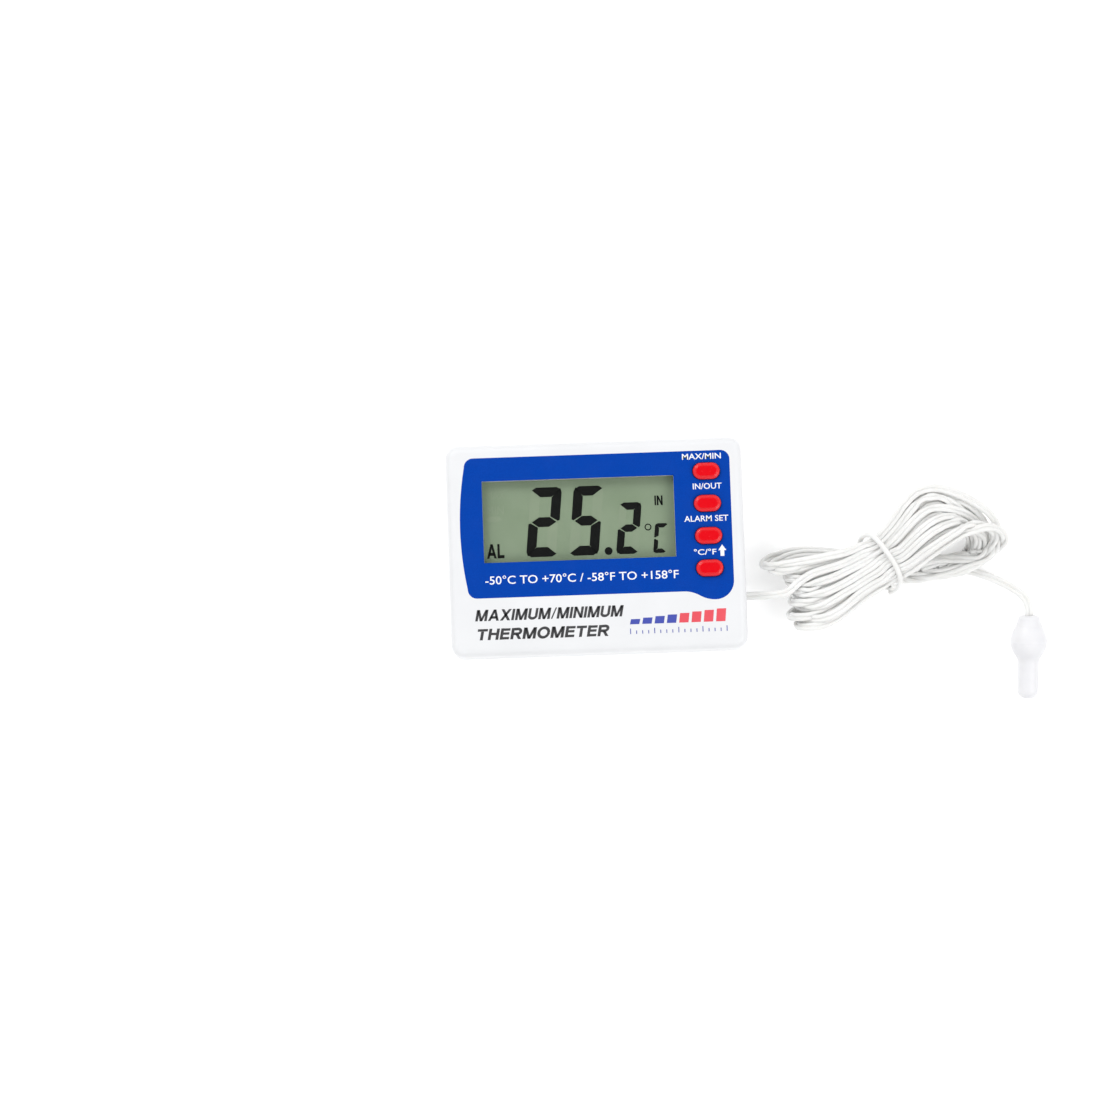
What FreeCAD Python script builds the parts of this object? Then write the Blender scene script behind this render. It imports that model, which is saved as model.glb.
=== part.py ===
import FreeCAD, Part
import math
import os
import re
import sys

import Sketcher

# Digital maximum minimum thermometer for a fridge, a freezer or a cold frame, lying on its back.
# Millimetres. +X runs to the reader's right along the width, +Y to the top of the display and
# +Z out of the face; z = 0 is the surface that the back rests on, and the case is centred on it.
# The case is two shells closed by four screws. The front one carries the printed label, the
# window, the keys, the display and the circuit board, the rear one the battery bay with its
# sliding cover, the folding stand, the sounder and the hanging slot. A thin twin lead leaves the
# right side at the parting line, is tied in a hank and ends in a moulded probe.

DIMENSIONS = {
    # The case and its two shells.
    "case_width": 70.0,
    "case_height": 50.0,
    "case_thickness": 16.0,
    "split_level": 8.0,
    "side_wall": 1.8,
    "front_wall": 2.0,
    "rear_wall": 1.6,
    "case_corner": 3.0,
    "front_rounding": 1.8,
    "rear_rounding": 1.2,
    "parting_rounding": 0.3,
    "inner_corner": 1.5,
    # The screws that close the case, one in each corner.
    "screw_reach_x": 31.6,
    "screw_reach_y": 21.6,
    "front_boss_radius": 2.4,
    "rear_boss_radius": 3.0,
    "screw_shank": 1.1,
    "screw_clearance": 1.3,
    "screw_head": 1.8,
    "screw_head_hole": 2.0,
    "screw_head_rise": 1.4,
    "screw_seat": 4.0,
    "screw_end": 12.0,
    "pilot_end": 12.6,
    # The printed label, a film in a shallow recess.
    "label_thickness": 0.25,
    "label_top": 21.9,
    "label_left": -30.7,
    "label_bulge": -32.05,
    "label_right": 32.1,
    "label_bottom": -11.3,
    "label_dip": -13.4,
    "label_dip_start": 20.2,
    "label_dip_radius": 4.4,
    "label_corner": 2.2,
    # The window over the display, and the lens that fills it.
    "window_x": -3.95,
    "window_y": 6.68,
    "window_width": 45.3,
    "window_height": 19.3,
    "lens_ledge": 1.0,
    "lens_thickness": 1.0,
    # The four keys and the switches under them.
    "key_x": 26.5,
    "key_top_y": 17.0,
    "key_pitch": 7.65,
    "key_length": 6.4,
    "key_width": 3.9,
    "key_gap": 0.15,
    "key_flange": 0.5,
    "key_flange_base": 12.9,
    "key_flange_height": 1.0,
    "key_top": 17.2,
    "key_rounding": 0.6,
    "switch_side": 6.0,
    "switch_top": 12.2,
    "switch_bore": 1.85,
    "switch_bore_floor": 11.2,
    "plunger_radius": 1.75,
    "plunger_base": 11.75,
    # The circuit board and what stands on it.
    "board_base": 8.6,
    "board_top": 9.6,
    "board_left": -28.5,
    "board_right": 29.8,
    "board_bottom": -9.3,
    "board_shoulder": 18.6,
    "board_shoulder_reach": 27.0,
    "board_height_end": 22.3,
    "board_screw_left": -24.0,
    "board_screw_right": 17.0,
    "board_screw_low": -7.3,
    "board_screw_high": 20.2,
    "board_boss_radius": 1.6,
    "board_screw_shank": 0.8,
    "board_screw_clearance": 0.9,
    "board_screw_head": 1.6,
    "board_screw_head_rise": 0.9,
    "board_screw_end": 12.4,
    "screw_slot_width": 0.5,
    "display_width": 48.3,
    "display_height": 22.8,
    "display_base": 11.4,
    "display_top": 13.6,
    "display_drop": 0.25,
    "frame_wall": 0.4,
    "frame_gap": 0.1,
    "frame_top": 13.7,
    "strip_width": 1.8,
    "strip_inset": 0.3,
    "strip_end_gap": 1.0,
    "blob_radius": 5.5,
    "blob_drop": 1.2,
    "blob_x": -6.0,
    "blob_y": 10.0,
    # The battery bay, one small cylindrical cell lying along X behind the lower strip of the face.
    "cell_radius": 5.25,
    "cell_length": 43.5,
    "cell_left": -21.0,
    "cell_y": -17.0,
    "cell_level": 7.2,
    "cell_nub_radius": 1.9,
    "cell_nub_length": 1.0,
    "bay_left": -26.0,
    "bay_right": 24.0,
    "bay_low": -23.2,
    "bay_high": -11.3,
    "bay_wall": 1.4,
    "contact_thickness": 0.4,
    "contact_gap": 0.1,
    "contact_half_width": 4.5,
    "contact_base": 2.4,
    "contact_top": 9.6,
    "spring_radius": 3.0,
    "spring_wire": 0.3,
    "spring_pitch": 1.3,
    # The sliding cover of the battery bay.
    "cover_left": -26.0,
    "cover_right": 24.0,
    "cover_top": -10.9,
    "cover_thickness": 1.5,
    "cover_gap": 0.1,
    "cover_corner": 0.2,
    "cover_rounding": 1.15,
    "cover_tongue": 0.8,
    "cover_tongue_base": 0.85,
    "cover_tongue_low": -24.0,
    "cover_tongue_high": -11.2,
    "grip_length": 10.0,
    "grip_width": 0.7,
    "grip_depth": 0.35,
    "grip_pitch": 1.5,
    "grip_first_y": -22.6,
    # The folding stand, hinged low on the back and folded up into its recess.
    "stand_width": 16.0,
    "stand_hinge_y": -7.0,
    "stand_hinge_level": 1.7,
    "stand_tip_y": 15.0,
    "stand_base": 0.3,
    "stand_top": 2.0,
    "stand_corner": 1.0,
    "stand_knuckle": 1.4,
    "stand_pin": 0.9,
    "stand_pin_clearance": 0.05,
    "stand_pin_reach": 1.4,
    "recess_side_gap": 0.4,
    "recess_low": -9.5,
    "recess_high": 15.6,
    "recess_level": 3.2,
    "recess_wall": 1.2,
    "notch_half_width": 4.0,
    "notch_high": 18.0,
    # The sounder disc, the room sensor and the hanging slot in the back.
    "sounder_x": -20.0,
    "sounder_y": 6.0,
    "sounder_radius": 8.0,
    "sounder_seat": 3.0,
    "sounder_thickness": 0.25,
    "ceramic_radius": 5.6,
    "ceramic_thickness": 0.2,
    "sounder_ring": 1.0,
    "sound_hole": 0.7,
    "sound_hole_circle": 4.0,
    "vent_x": 23.0,
    "vent_length": 8.0,
    "vent_width": 1.0,
    "vent_pitch": 2.2,
    "vent_first_y": -7.6,
    "sensor_y": -4.3,
    "sensor_level": 6.6,
    "sensor_radius": 1.1,
    "sensor_leg": 0.25,
    "sensor_leg_offset": 0.6,
    "hanger_x": 20.0,
    "hanger_y": 7.0,
    "hanger_head": 3.5,
    "hanger_slot": 1.8,
    "hanger_slot_length": 6.0,
    # The lead, a flat twin cord, and the stop moulded on it inside the case.
    "lead_width": 2.0,
    "lead_thickness": 1.05,
    "lead_y": -12.4,
    "lead_level": 7.35,
    "lead_hole_gap": 0.1,
    "lead_bend_x": 28.4,
    "lead_end_y": -7.9,
    "stop_left": 29.9,
    "stop_width": 4.2,
    "stop_base": 5.9,
    "stop_top": 8.9,
    "solder_radius": 0.7,
    "solder_low_radius": 0.42,
    "wire_radius": 0.5,
    "wire_rise": 1.3,
    "wire_y": -13.2,
    "wire_board_y": -8.2,
    "wire_negative_end": -27.0,
    "wire_positive_end": 21.8,
    # The hank, tied across its middle.
    "hank_x": 66.9,
    "hank_y": -5.4,
    "hank_turn": 19.5,
    "tie_wall": 1.5,
    "tie_length": 1.6,
    "waist_half_width": 6.3,
    "waist_half_height": 3.2,
    "waist_length": 2.4,
    "waist_level": 4.75,
    # The probe on the end of the lead, lying on its widest part and its tip.
    "probe_x": 102.5,
    "probe_y": -19.3,
    "probe_level": 5.69,
    "probe_turn": 2.2,
    "probe_tilt": 9.9,
    "probe_length": 19.9,
    "collar_radius": 2.6,
    "collar_base_radius": 3.1,
    "collar_rounding": 0.9,
    "collar_length": 2.5,
    "shoulder_radius": 4.0,
    "shoulder_at": 4.4,
    "bulge_radius": 4.4,
    "bulge_at": 6.3,
    "bulge_low_radius": 4.0,
    "bulge_low_at": 8.0,
    "neck_radius": 3.05,
    "neck_at": 9.7,
    "neck_bend_radius": 2.68,
    "neck_bend_at": 10.4,
    "neck_end": 11.4,
    "probe_tube_radius": 2.5,
    "probe_tip_radius": 1.9,
    "probe_bore": 1.7,
    "probe_bore_start": 4.0,
    "probe_bore_end": 17.6,
    "thermistor_radius": 1.0,
    "thermistor_at": 16.0,
}

# The lead's route outside the case, from the hole in its side to the hank, and from the hank to
# the probe. Each row is one point that the route turns at.
LEAD_IN = [
    (35.0, -12.4, 7.35),
    (38.2, -12.4, 7.35),
    (41.6, -12.5, 8.4),
    (44.8, -12.2, 9.6),
]
TAIL = [
    (84.0, -6.6, 2.3),
    (87.2, -7.4, 1.3),
    (91.8, -8.6, 1.1),
    (95.9, -10.5, 2.4),
    (98.9, -12.4, 4.1),
    (101.55, -14.6, 5.6),
    (102.58, -17.23, 6.05),
    (102.5, -19.3, 5.69),
]
# The tied hank's outline, as ellipses across its long axis: along, aside, half width, half height.
# They all rest on the surface, and the tie holds the waist between the last row of the left
# lobe and the first row of the right one.
LEFT_LOBE = [
    (-27.0, 5.6, 4.2, 4.0),
    (-24.5, 2.8, 9.6, 5.8),
    (-18.0, 1.0, 11.8, 6.5),
    (-10.0, -0.2, 9.8, 5.9),
    (-4.0, 0.0, 7.0, 4.6),
]
RIGHT_LOBE = [
    (4.0, 0.6, 7.6, 4.8),
    (10.0, 1.4, 10.0, 6.0),
    (17.0, 1.8, 11.8, 6.6),
    (23.0, -0.5, 9.9, 6.5),
    (27.8, -2.6, 7.4, 5.9),
    (31.2, -4.1, 4.0, 3.8),
]

doc = FreeCAD.newDocument("Thermometer")
sheet = doc.addObject("Spreadsheet::Sheet", "Dimensions")
for row, (alias, size) in enumerate(DIMENSIONS.items(), start=1):
    sheet.set(f"A{row}", alias)
    sheet.set(f"B{row}", str(size))
    sheet.setAlias(f"B{row}", alias)
doc.recompute()

SUBPARTS = []
TINY = 1e-6
ALONG_X = FreeCAD.Rotation(FreeCAD.Vector(0, 1, 0), 90)
ALONG_Z = FreeCAD.Rotation()


def size_of(alias):
    """The number that the sheet holds under this alias."""
    return float(getattr(sheet, alias))


def bind(feature, property_name, text):
    """Binds a property to a formula, in which each alias of the sheet is written as a bare word."""
    words = re.sub(r"[a-z][a-z_]*[a-z]", lambda word: f"Dimensions.{word.group()}", str(text))
    feature.setExpression(property_name, words)


def place(feature, x, y, z, rotation=ALONG_Z):
    """Turns a feature and binds its position to three formulas."""
    feature.Placement = FreeCAD.Placement(FreeCAD.Vector(), rotation)
    for axis, text in zip("xyz", (x, y, z)):
        bind(feature, f"Placement.Base.{axis}", text)


def box(name, x, y, z):
    """A box between two formulas on each axis."""
    feature = doc.addObject("Part::Box", name)
    for side, (low, high) in zip(("Length", "Width", "Height"), (x, y, z)):
        bind(feature, side, f"({high}) - ({low})")
    place(feature, x[0], y[0], z[0])
    return feature


def rod(name, x, y, z, radius, rotation=ALONG_Z):
    """A cylinder along Z, or along X; the axis that it runs along is given as a pair."""
    feature = doc.addObject("Part::Cylinder", name)
    low, high = x if rotation is ALONG_X else z
    bind(feature, "Radius", radius)
    bind(feature, "Height", f"({high}) - ({low})")
    if rotation is ALONG_X:
        place(feature, low, y, z, rotation)
    else:
        place(feature, x, y, low)
    return feature


def fuse(name, pieces):
    """Several features joined into one."""
    feature = doc.addObject("Part::MultiFuse", name)
    feature.Shapes = pieces
    feature.Refine = True
    return feature


def cut(name, base, tools):
    """A feature less several others; a tool that opens a face runs 1 mm past it."""
    feature = doc.addObject("Part::Cut", name)
    feature.Base = base
    feature.Tool = tools[0] if len(tools) == 1 else fuse(f"{name}_tools", tools)
    feature.Refine = True
    return feature


def group(name, pieces):
    """Equal loose pieces that share one sub-part."""
    feature = doc.addObject("Part::Compound", name)
    feature.Links = pieces
    return feature


def subpart(feature, label):
    """Registers a finished feature as the sub-part of this name."""
    feature.Label = label
    SUBPARTS.append(feature)
    return feature


def origin_plane(body, role):
    """One of a body's own origin planes."""
    return next(plane for plane in body.Origin.OriginFeatures if plane.Role == role)


def new_sketch(body, name, role, offset="0"):
    """An empty sketch on one of the body's origin planes, moved along its normal."""
    sketch = body.newObject("Sketcher::SketchObject", name)
    sketch.AttachmentSupport = [(origin_plane(body, role), "")]
    sketch.MapMode = "FlatFace"
    bind(sketch, "AttachmentOffset.Base.z", offset)
    return sketch


def dimension(sketch, kind, picks, text):
    """A driving dimension of the sketch, bound to a formula."""
    index = sketch.addConstraint(Sketcher.Constraint(kind, *picks, 1.0))
    bind(sketch, f"Constraints[{index}]", text)


def draw_rectangle(sketch, left, low, width, height):
    """A fully constrained rectangle; its corner is measured from the sketch's origin."""
    corners = [FreeCAD.Vector(x, y, 0) for x, y in ((0, 0), (1, 0), (1, 1), (0, 1))]
    for start, end in zip(corners, corners[1:] + corners[:1]):
        sketch.addGeometry(Part.LineSegment(start, end))
    for line in range(4):
        sketch.addConstraint(Sketcher.Constraint("Coincident", line, 2, (line + 1) % 4, 1))
        sketch.addConstraint(Sketcher.Constraint("Vertical" if line % 2 else "Horizontal", line))
    dimension(sketch, "DistanceX", (-1, 1, 0, 1), left)
    dimension(sketch, "DistanceY", (-1, 1, 0, 1), low)
    dimension(sketch, "DistanceX", (0, 1, 0, 2), width)
    dimension(sketch, "DistanceY", (1, 1, 1, 2), height)


def round_edges(body, name, pick, radius):
    """Rounds the edges of a body's tip that the pick function chooses."""
    doc.recompute()
    base = body.Tip
    names = [f"Edge{number}" for number, edge in enumerate(base.Shape.Edges, start=1) if pick(edge)]
    fillet = body.newObject("PartDesign::Fillet", name)
    fillet.Base = (base, names)
    bind(fillet, "Radius", radius)
    return fillet


def upright(edge):
    """Whether an edge runs along Z."""
    low, high = edge.Vertexes[0].Point, edge.Vertexes[-1].Point
    return math.hypot(high.x - low.x, high.y - low.y) < TINY < abs(high.z - low.z)


def at_level(level):
    """A test for edges that lie flat at one level."""
    return lambda edge: all(abs(corner.Z - level) < TINY for corner in edge.Vertexes)


def rounded_block(name, x, y, z, corner):
    """A block with round upright edges, made as a padded sketch."""
    body = doc.addObject("PartDesign::Body", name)
    outline = new_sketch(body, f"{name}_outline", "XY_Plane", z[0])
    draw_rectangle(outline, x[0], y[0], f"({x[1]}) - ({x[0]})", f"({y[1]}) - ({y[0]})")
    pad = body.newObject("PartDesign::Pad", f"{name}_pad")
    pad.Profile = outline
    bind(pad, "Length", f"({z[1]}) - ({z[0]})")
    outline.Visibility = False
    round_edges(body, f"{name}_corners", upright, corner)
    return body


def stadium(name, x, y, z, length, width):
    """A prism with straight sides and half-round ends, long along X."""
    reach = f"(({length}) - ({width})) / 2"
    radius = f"({width}) / 2"
    ends = [
        rod(f"{name}_end_{side}", f"{x} {sign} {reach}", y, z, radius)
        for side, sign in (("left", "-"), ("right", "+"))
    ]
    middle = box(
        f"{name}_middle",
        (f"{x} - {reach}", f"{x} + {reach}"),
        (f"{y} - {radius}", f"{y} + {radius}"),
        z,
    )
    return fuse(name, ends + [middle])


def case_screw_places():
    """The signs of the four corners that hold a case screw."""
    return [(x, y) for x in ("-", "") for y in ("-", "")]


def board_screw_places():
    """The four places where a screw holds the board to the front shell."""
    sides = ("board_screw_left", "board_screw_right")
    return [(x, y) for x in sides for y in ("board_screw_low", "board_screw_high")]


def key_y(number):
    """The height of a key's centre on the face, counted from the top key."""
    return f"key_top_y - {number} * key_pitch"


def label_outline():
    """The printed label's outline: straight top, bowed left side and a dip under the keys."""
    top, left, right = size_of("label_top"), size_of("label_left"), size_of("label_right")
    bottom, dip, bulge = size_of("label_bottom"), size_of("label_dip"), size_of("label_bulge")
    corner, round_dip = size_of("label_corner"), size_of("label_dip_radius")
    dip_start = size_of("label_dip_start")
    lowest_x = right - round_dip
    middle_x, middle_y = (dip_start + lowest_x) / 2, (bottom + dip) / 2
    # The two arcs of the dip meet on its slope, and each has the same rise and run.
    run, rise = middle_x - dip_start, bottom - middle_y
    bend = (run * run + rise * rise) / (2 * rise)
    half_turn = math.asin(run / bend) / 2
    step_x, step_y = bend * math.sin(half_turn), bend * (1 - math.cos(half_turn))
    diagonal = 1 - math.sqrt(0.5)
    points = {
        "top_left": (left + corner, top),
        "top_right": (right - corner, top),
        "top_right_bend": (right - corner * diagonal, top - corner * diagonal),
        "right_top": (right, top - corner),
        "right_low": (right, dip + round_dip),
        "right_bend": (right - round_dip * diagonal, dip + round_dip * diagonal),
        "lowest": (lowest_x, dip),
        "slope_low": (lowest_x - step_x, dip + step_y),
        "slope": (middle_x, middle_y),
        "slope_high": (dip_start + step_x, bottom - step_y),
        "dip_start": (dip_start, bottom),
        "bottom_left": (left + corner, bottom),
        "bottom_bend": (left + corner * diagonal, bottom + corner * diagonal),
        "left_low": (left, bottom + corner),
        "left_bulge": (bulge, (top + bottom) / 2),
        "left_top": (left, top - corner),
        "top_left_bend": (left + corner * diagonal, top - corner * diagonal),
    }
    at = {name: FreeCAD.Vector(x, y, 0) for name, (x, y) in points.items()}
    outline = doc.addObject("Sketcher::SketchObject", "label_outline")
    pieces = [
        Part.LineSegment(at["top_left"], at["top_right"]),
        Part.Arc(at["top_right"], at["top_right_bend"], at["right_top"]),
        Part.LineSegment(at["right_top"], at["right_low"]),
        Part.Arc(at["right_low"], at["right_bend"], at["lowest"]),
        Part.Arc(at["lowest"], at["slope_low"], at["slope"]),
        Part.Arc(at["slope"], at["slope_high"], at["dip_start"]),
        Part.LineSegment(at["dip_start"], at["bottom_left"]),
        Part.Arc(at["bottom_left"], at["bottom_bend"], at["left_low"]),
        Part.Arc(at["left_low"], at["left_bulge"], at["left_top"]),
        Part.Arc(at["left_top"], at["top_left_bend"], at["top_left"]),
    ]
    for piece in pieces:
        outline.addGeometry(piece)
    bind(outline, "Placement.Base.z", "case_thickness - label_thickness")
    return outline


def raised(name, profile, height):
    """A flat outline made into a prism."""
    feature = doc.addObject("Part::Extrusion", name)
    feature.Base = profile
    feature.DirMode = "Custom"
    feature.Dir = FreeCAD.Vector(0, 0, 1)
    feature.Solid = True
    bind(feature, "LengthFwd", height)
    return feature


def window_block(name, grow, z):
    """A block of the window's size, grown on every side."""
    half_x, half_y = f"(window_width / 2 + {grow})", f"(window_height / 2 + {grow})"
    return box(
        name,
        (f"window_x - {half_x}", f"window_x + {half_x}"),
        (f"window_y - {half_y}", f"window_y + {half_y}"),
        z,
    )


def key_holes(name, z):
    """The four holes that the keys pass through."""
    return [
        stadium(f"{name}_{number}", "key_x", key_y(number), z,
                "key_length + 2 * key_gap", "key_width + 2 * key_gap")
        for number in range(4)
    ]


def build_label(outline):
    """The printed film on the face, open over the window and the keys."""
    film = raised("label_film", outline, "label_thickness")
    through = ("case_thickness - 2 * label_thickness", "case_thickness + label_thickness")
    openings = [window_block("label_window", "0", through)] + key_holes("label_key_hole", through)
    subpart(cut("label", film, openings), "label_overlay")


def build_front_shell(outline):
    """The front shell: a tray with round edges, the label's recess, window, key holes and bosses."""
    half_x, half_y = "case_width / 2", "case_height / 2"
    tray = rounded_block(
        "front_block", (f"-{half_x}", half_x), (f"-{half_y}", half_y),
        ("split_level", "case_thickness"), "case_corner",
    )
    round_edges(tray, "front_edge", at_level(size_of("case_thickness")), "front_rounding")
    round_edges(tray, "front_parting", at_level(size_of("split_level")), "parting_rounding")
    cavity = rounded_block(
        "front_cavity", (f"-{half_x} + side_wall", f"{half_x} - side_wall"),
        (f"-{half_y} + side_wall", f"{half_y} - side_wall"),
        ("split_level - 1", "case_thickness - front_wall"), "inner_corner",
    )
    recess = raised("label_recess", outline, "1")
    ceiling = "case_thickness - front_wall"
    through = (f"{ceiling} - 1", "case_thickness + 1")
    ledge = ("case_thickness - label_thickness - lens_thickness", "case_thickness + 1")
    openings = [cavity, recess, window_block("window_hole", "0", through)]
    openings.append(window_block("lens_seat", "lens_ledge", ledge))
    openings += key_holes("key_hole", through)
    hollow = cut("front_hollow", tray, openings)
    bosses, pilots = [], []
    for number, (side_x, side_y) in enumerate(case_screw_places()):
        at = (f"{side_x}screw_reach_x", f"{side_y}screw_reach_y")
        bosses.append(rod(f"front_boss_{number}", *at, ("split_level", ceiling), "front_boss_radius"))
        pilots.append(rod(f"front_pilot_{number}", *at, ("split_level - 1", "pilot_end"), "screw_shank"))
    for number, at in enumerate(board_screw_places()):
        bosses.append(rod(f"board_boss_{number}", *at, ("board_top", ceiling), "board_boss_radius"))
        pilots.append(
            rod(f"board_pilot_{number}", *at, ("board_top - 1", "board_screw_end"), "board_screw_shank")
        )
    subpart(cut("front", fuse("front_solid", [hollow] + bosses), pilots), "front_shell")


def rear_openings():
    """What the rear shell is open for: the cover, the sounder, the sensor, the hanging slot, the lead."""
    gap = "cover_gap"
    below, floor = "-1", "rear_wall"
    tools = [
        box("cover_opening", (f"cover_left - {gap}", f"cover_right + {gap}"),
            ("-case_height / 2 - 1", f"cover_top + {gap}"), (below, floor)),
        box("cover_groove", (f"cover_left - cover_tongue - {gap}", f"cover_right + cover_tongue + {gap}"),
            ("-case_height / 2 - 1", f"cover_top + {gap}"), (f"cover_tongue_base - {gap}", floor)),
        rod("hanger_head_hole", "hanger_x", "hanger_y", (below, f"{floor} + 1"), "hanger_head"),
        rod("hanger_slot_end", "hanger_x", "hanger_y + hanger_slot_length", (below, f"{floor} + 1"),
            "hanger_slot"),
        box("hanger_slot_side", ("hanger_x - hanger_slot", "hanger_x + hanger_slot"),
            ("hanger_y", "hanger_y + hanger_slot_length"), (below, f"{floor} + 1")),
        box("lead_hole", ("case_width / 2 - side_wall - 1", "case_width / 2 + 1"),
            ("lead_y - lead_width / 2 - lead_hole_gap", "lead_y + lead_width / 2 + lead_hole_gap"),
            ("lead_level - lead_thickness / 2 - lead_hole_gap", "split_level + 1")),
    ]
    tools.append(rod("sound_hole_middle", "sounder_x", "sounder_y", (below, f"{floor} + 1"), "sound_hole"))
    for number in range(6):
        turn = math.radians(60 * number)
        tools.append(
            rod(f"sound_hole_{number}", f"sounder_x + sound_hole_circle * {math.cos(turn):.6f}",
                f"sounder_y + sound_hole_circle * {math.sin(turn):.6f}", (below, f"{floor} + 1"),
                "sound_hole")
        )
    for number in range(4):
        middle = f"vent_first_y + {number} * vent_pitch"
        tools.append(stadium(f"vent_{number}", "vent_x", middle, (below, f"{floor} + 1"),
                             "vent_length", "vent_width"))
    return tools


def build_rear_shell():
    """The rear shell: a tray with the battery bay, the stand's recess, the sounder's seat and bosses."""
    half_x, half_y = "case_width / 2", "case_height / 2"
    block = rounded_block(
        "rear_block", (f"-{half_x}", half_x), (f"-{half_y}", half_y), ("0", "split_level"), "case_corner",
    )
    round_edges(block, "rear_edge", at_level(0.0), "rear_rounding")
    round_edges(block, "rear_parting", at_level(size_of("split_level")), "parting_rounding")
    cavity = rounded_block(
        "rear_cavity", (f"-{half_x} + side_wall", f"{half_x} - side_wall"),
        (f"-{half_y} + side_wall", f"{half_y} - side_wall"),
        ("rear_wall", "split_level + 1"), "inner_corner",
    )
    tray = cut("rear_tray", block, [cavity])
    stand_half = "stand_width / 2 + recess_side_gap"
    bay_box = box("bay_block", ("bay_left - bay_wall", "bay_right + bay_wall"),
                  ("bay_low", "bay_high + bay_wall"), ("rear_wall", "split_level"))
    recess_box = box("recess_block", (f"-({stand_half}) - recess_wall", f"{stand_half} + recess_wall"),
                     ("recess_low", "recess_high + recess_wall"), ("0", "recess_level + recess_wall"))
    notch_box = box("notch_block", ("-notch_half_width - recess_wall", "notch_half_width + recess_wall"),
                    ("recess_high", "notch_high + recess_wall"), ("0", "recess_level + recess_wall"))
    seat = rod("sounder_seat_ring", "sounder_x", "sounder_y", ("0", "sounder_seat"),
               "sounder_radius + sounder_ring / 2")
    bosses = [
        rod(f"rear_boss_{number}", f"{side_x}screw_reach_x", f"{side_y}screw_reach_y",
            ("rear_wall", "split_level"), "rear_boss_radius")
        for number, (side_x, side_y) in enumerate(case_screw_places())
    ]
    solid = fuse("rear_solid", [tray, bay_box, recess_box, notch_box, seat] + bosses)
    hollows = rear_openings()
    hollows += [
        box("bay_hollow", ("bay_left", "bay_right"), ("bay_low", "bay_high"),
            ("-1", "split_level + 1")),
        box("recess_hollow", (f"-({stand_half})", stand_half), ("recess_low", "recess_high"),
            ("-1", "recess_level")),
        box("notch_hollow", ("-notch_half_width", "notch_half_width"), ("recess_high - 1", "notch_high"),
            ("-1", "recess_level")),
        rod("hinge_hole", (f"-({stand_half}) - recess_wall - 1", f"{stand_half} + recess_wall + 1"),
            "stand_hinge_y", "stand_hinge_level", "stand_pin + stand_pin_clearance", ALONG_X),
        rod("sounder_hollow", "sounder_x", "sounder_y", ("rear_wall", "sounder_seat + 1"),
            "sounder_radius - sounder_ring"),
    ]
    for number, (side_x, side_y) in enumerate(case_screw_places()):
        at = (f"{side_x}screw_reach_x", f"{side_y}screw_reach_y")
        hollows.append(rod(f"head_hole_{number}", *at, ("-1", "screw_seat"), "screw_head_hole"))
        hollows.append(rod(f"shank_hole_{number}", *at, ("0", "split_level + 1"), "screw_clearance"))
    subpart(cut("rear", solid, hollows), "rear_shell")


def build_lens():
    """The clear lens, dropped into its seat under the label."""
    top = "case_thickness - label_thickness"
    subpart(window_block("lens", "lens_ledge", (f"{top} - lens_thickness", top)), "display_window")


def build_keys():
    """Four keys, each a cap with a round edge on a flange, with the switch plunger that it works."""
    names = ("max_min", "in_out", "alarm_set", "units")
    for number, name in enumerate(names):
        y = key_y(number)
        flange = stadium(f"flange_{name}", "key_x", y,
                         ("key_flange_base", "key_flange_base + key_flange_height"),
                         "key_length + 2 * key_flange", "key_width + 2 * key_flange")
        cap = stadium(f"cap_{name}", "key_x", y, ("key_flange_base", "key_top"), "key_length", "key_width")
        whole = fuse(f"key_{name}_solid", [flange, cap])
        doc.recompute()
        rounded = doc.addObject("Part::Fillet", f"key_{name}")
        rounded.Base = whole
        radius = size_of("key_rounding")
        on_top = at_level(size_of("key_top"))
        rounded.Edges = [
            (index, radius, radius)
            for index, edge in enumerate(whole.Shape.Edges, start=1) if on_top(edge)
        ]
        subpart(rounded, f"key_{name}")
        plunger = rod(f"plunger_{name}_rod", "key_x", y, ("plunger_base", "key_flange_base"),
                      "plunger_radius")
        subpart(plunger, f"plunger_{name}")


def build_switches():
    """The bodies of the four push switches on the board, each with the bore its plunger moves in."""
    bodies = []
    for number in range(4):
        y = key_y(number)
        block = box(f"switch_block_{number}", ("key_x - switch_side / 2", "key_x + switch_side / 2"),
                    (f"{y} - switch_side / 2", f"{y} + switch_side / 2"), ("board_top", "switch_top"))
        bore = rod(f"switch_bore_{number}", "key_x", y, ("switch_bore_floor", "switch_top + 1"),
                   "switch_bore")
        bodies.append(cut(f"switch_{number}", block, [bore]))
    subpart(group("switches", bodies), "switch_bodies")


def display_block(name, grow, z):
    """A block of the display glass's size, grown on every side."""
    half_x, half_y = f"(display_width / 2 + {grow})", f"(display_height / 2 + {grow})"
    middle = "window_y - display_drop"
    return box(name, (f"window_x - {half_x}", f"window_x + {half_x}"),
               (f"{middle} - {half_y}", f"{middle} + {half_y}"), z)


def build_display():
    """The display glass, the frame that holds it on the board and the two rubber contact strips."""
    subpart(display_block("glass", "0", ("display_base", "display_top")), "display_glass")
    tall = ("board_top", "frame_top")
    outer = display_block("frame_outer", "frame_gap + frame_wall", tall)
    inner = display_block("frame_inner", "frame_gap", ("board_top - 1", "display_top + 1"))
    subpart(cut("holder", outer, [inner]), "display_frame")
    strips = []
    for side, sign in (("low", "-"), ("high", "+")):
        middle = f"window_y - display_drop {sign} (display_height / 2 - strip_inset - strip_width / 2)"
        reach = "(display_width / 2 - strip_end_gap)"
        strips.append(
            box(f"strip_{side}", (f"window_x - {reach}", f"window_x + {reach}"),
                (f"{middle} - strip_width / 2", f"{middle} + strip_width / 2"),
                ("board_top", "display_base"))
        )
    subpart(group("strips", strips), "contact_strips")


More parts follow.
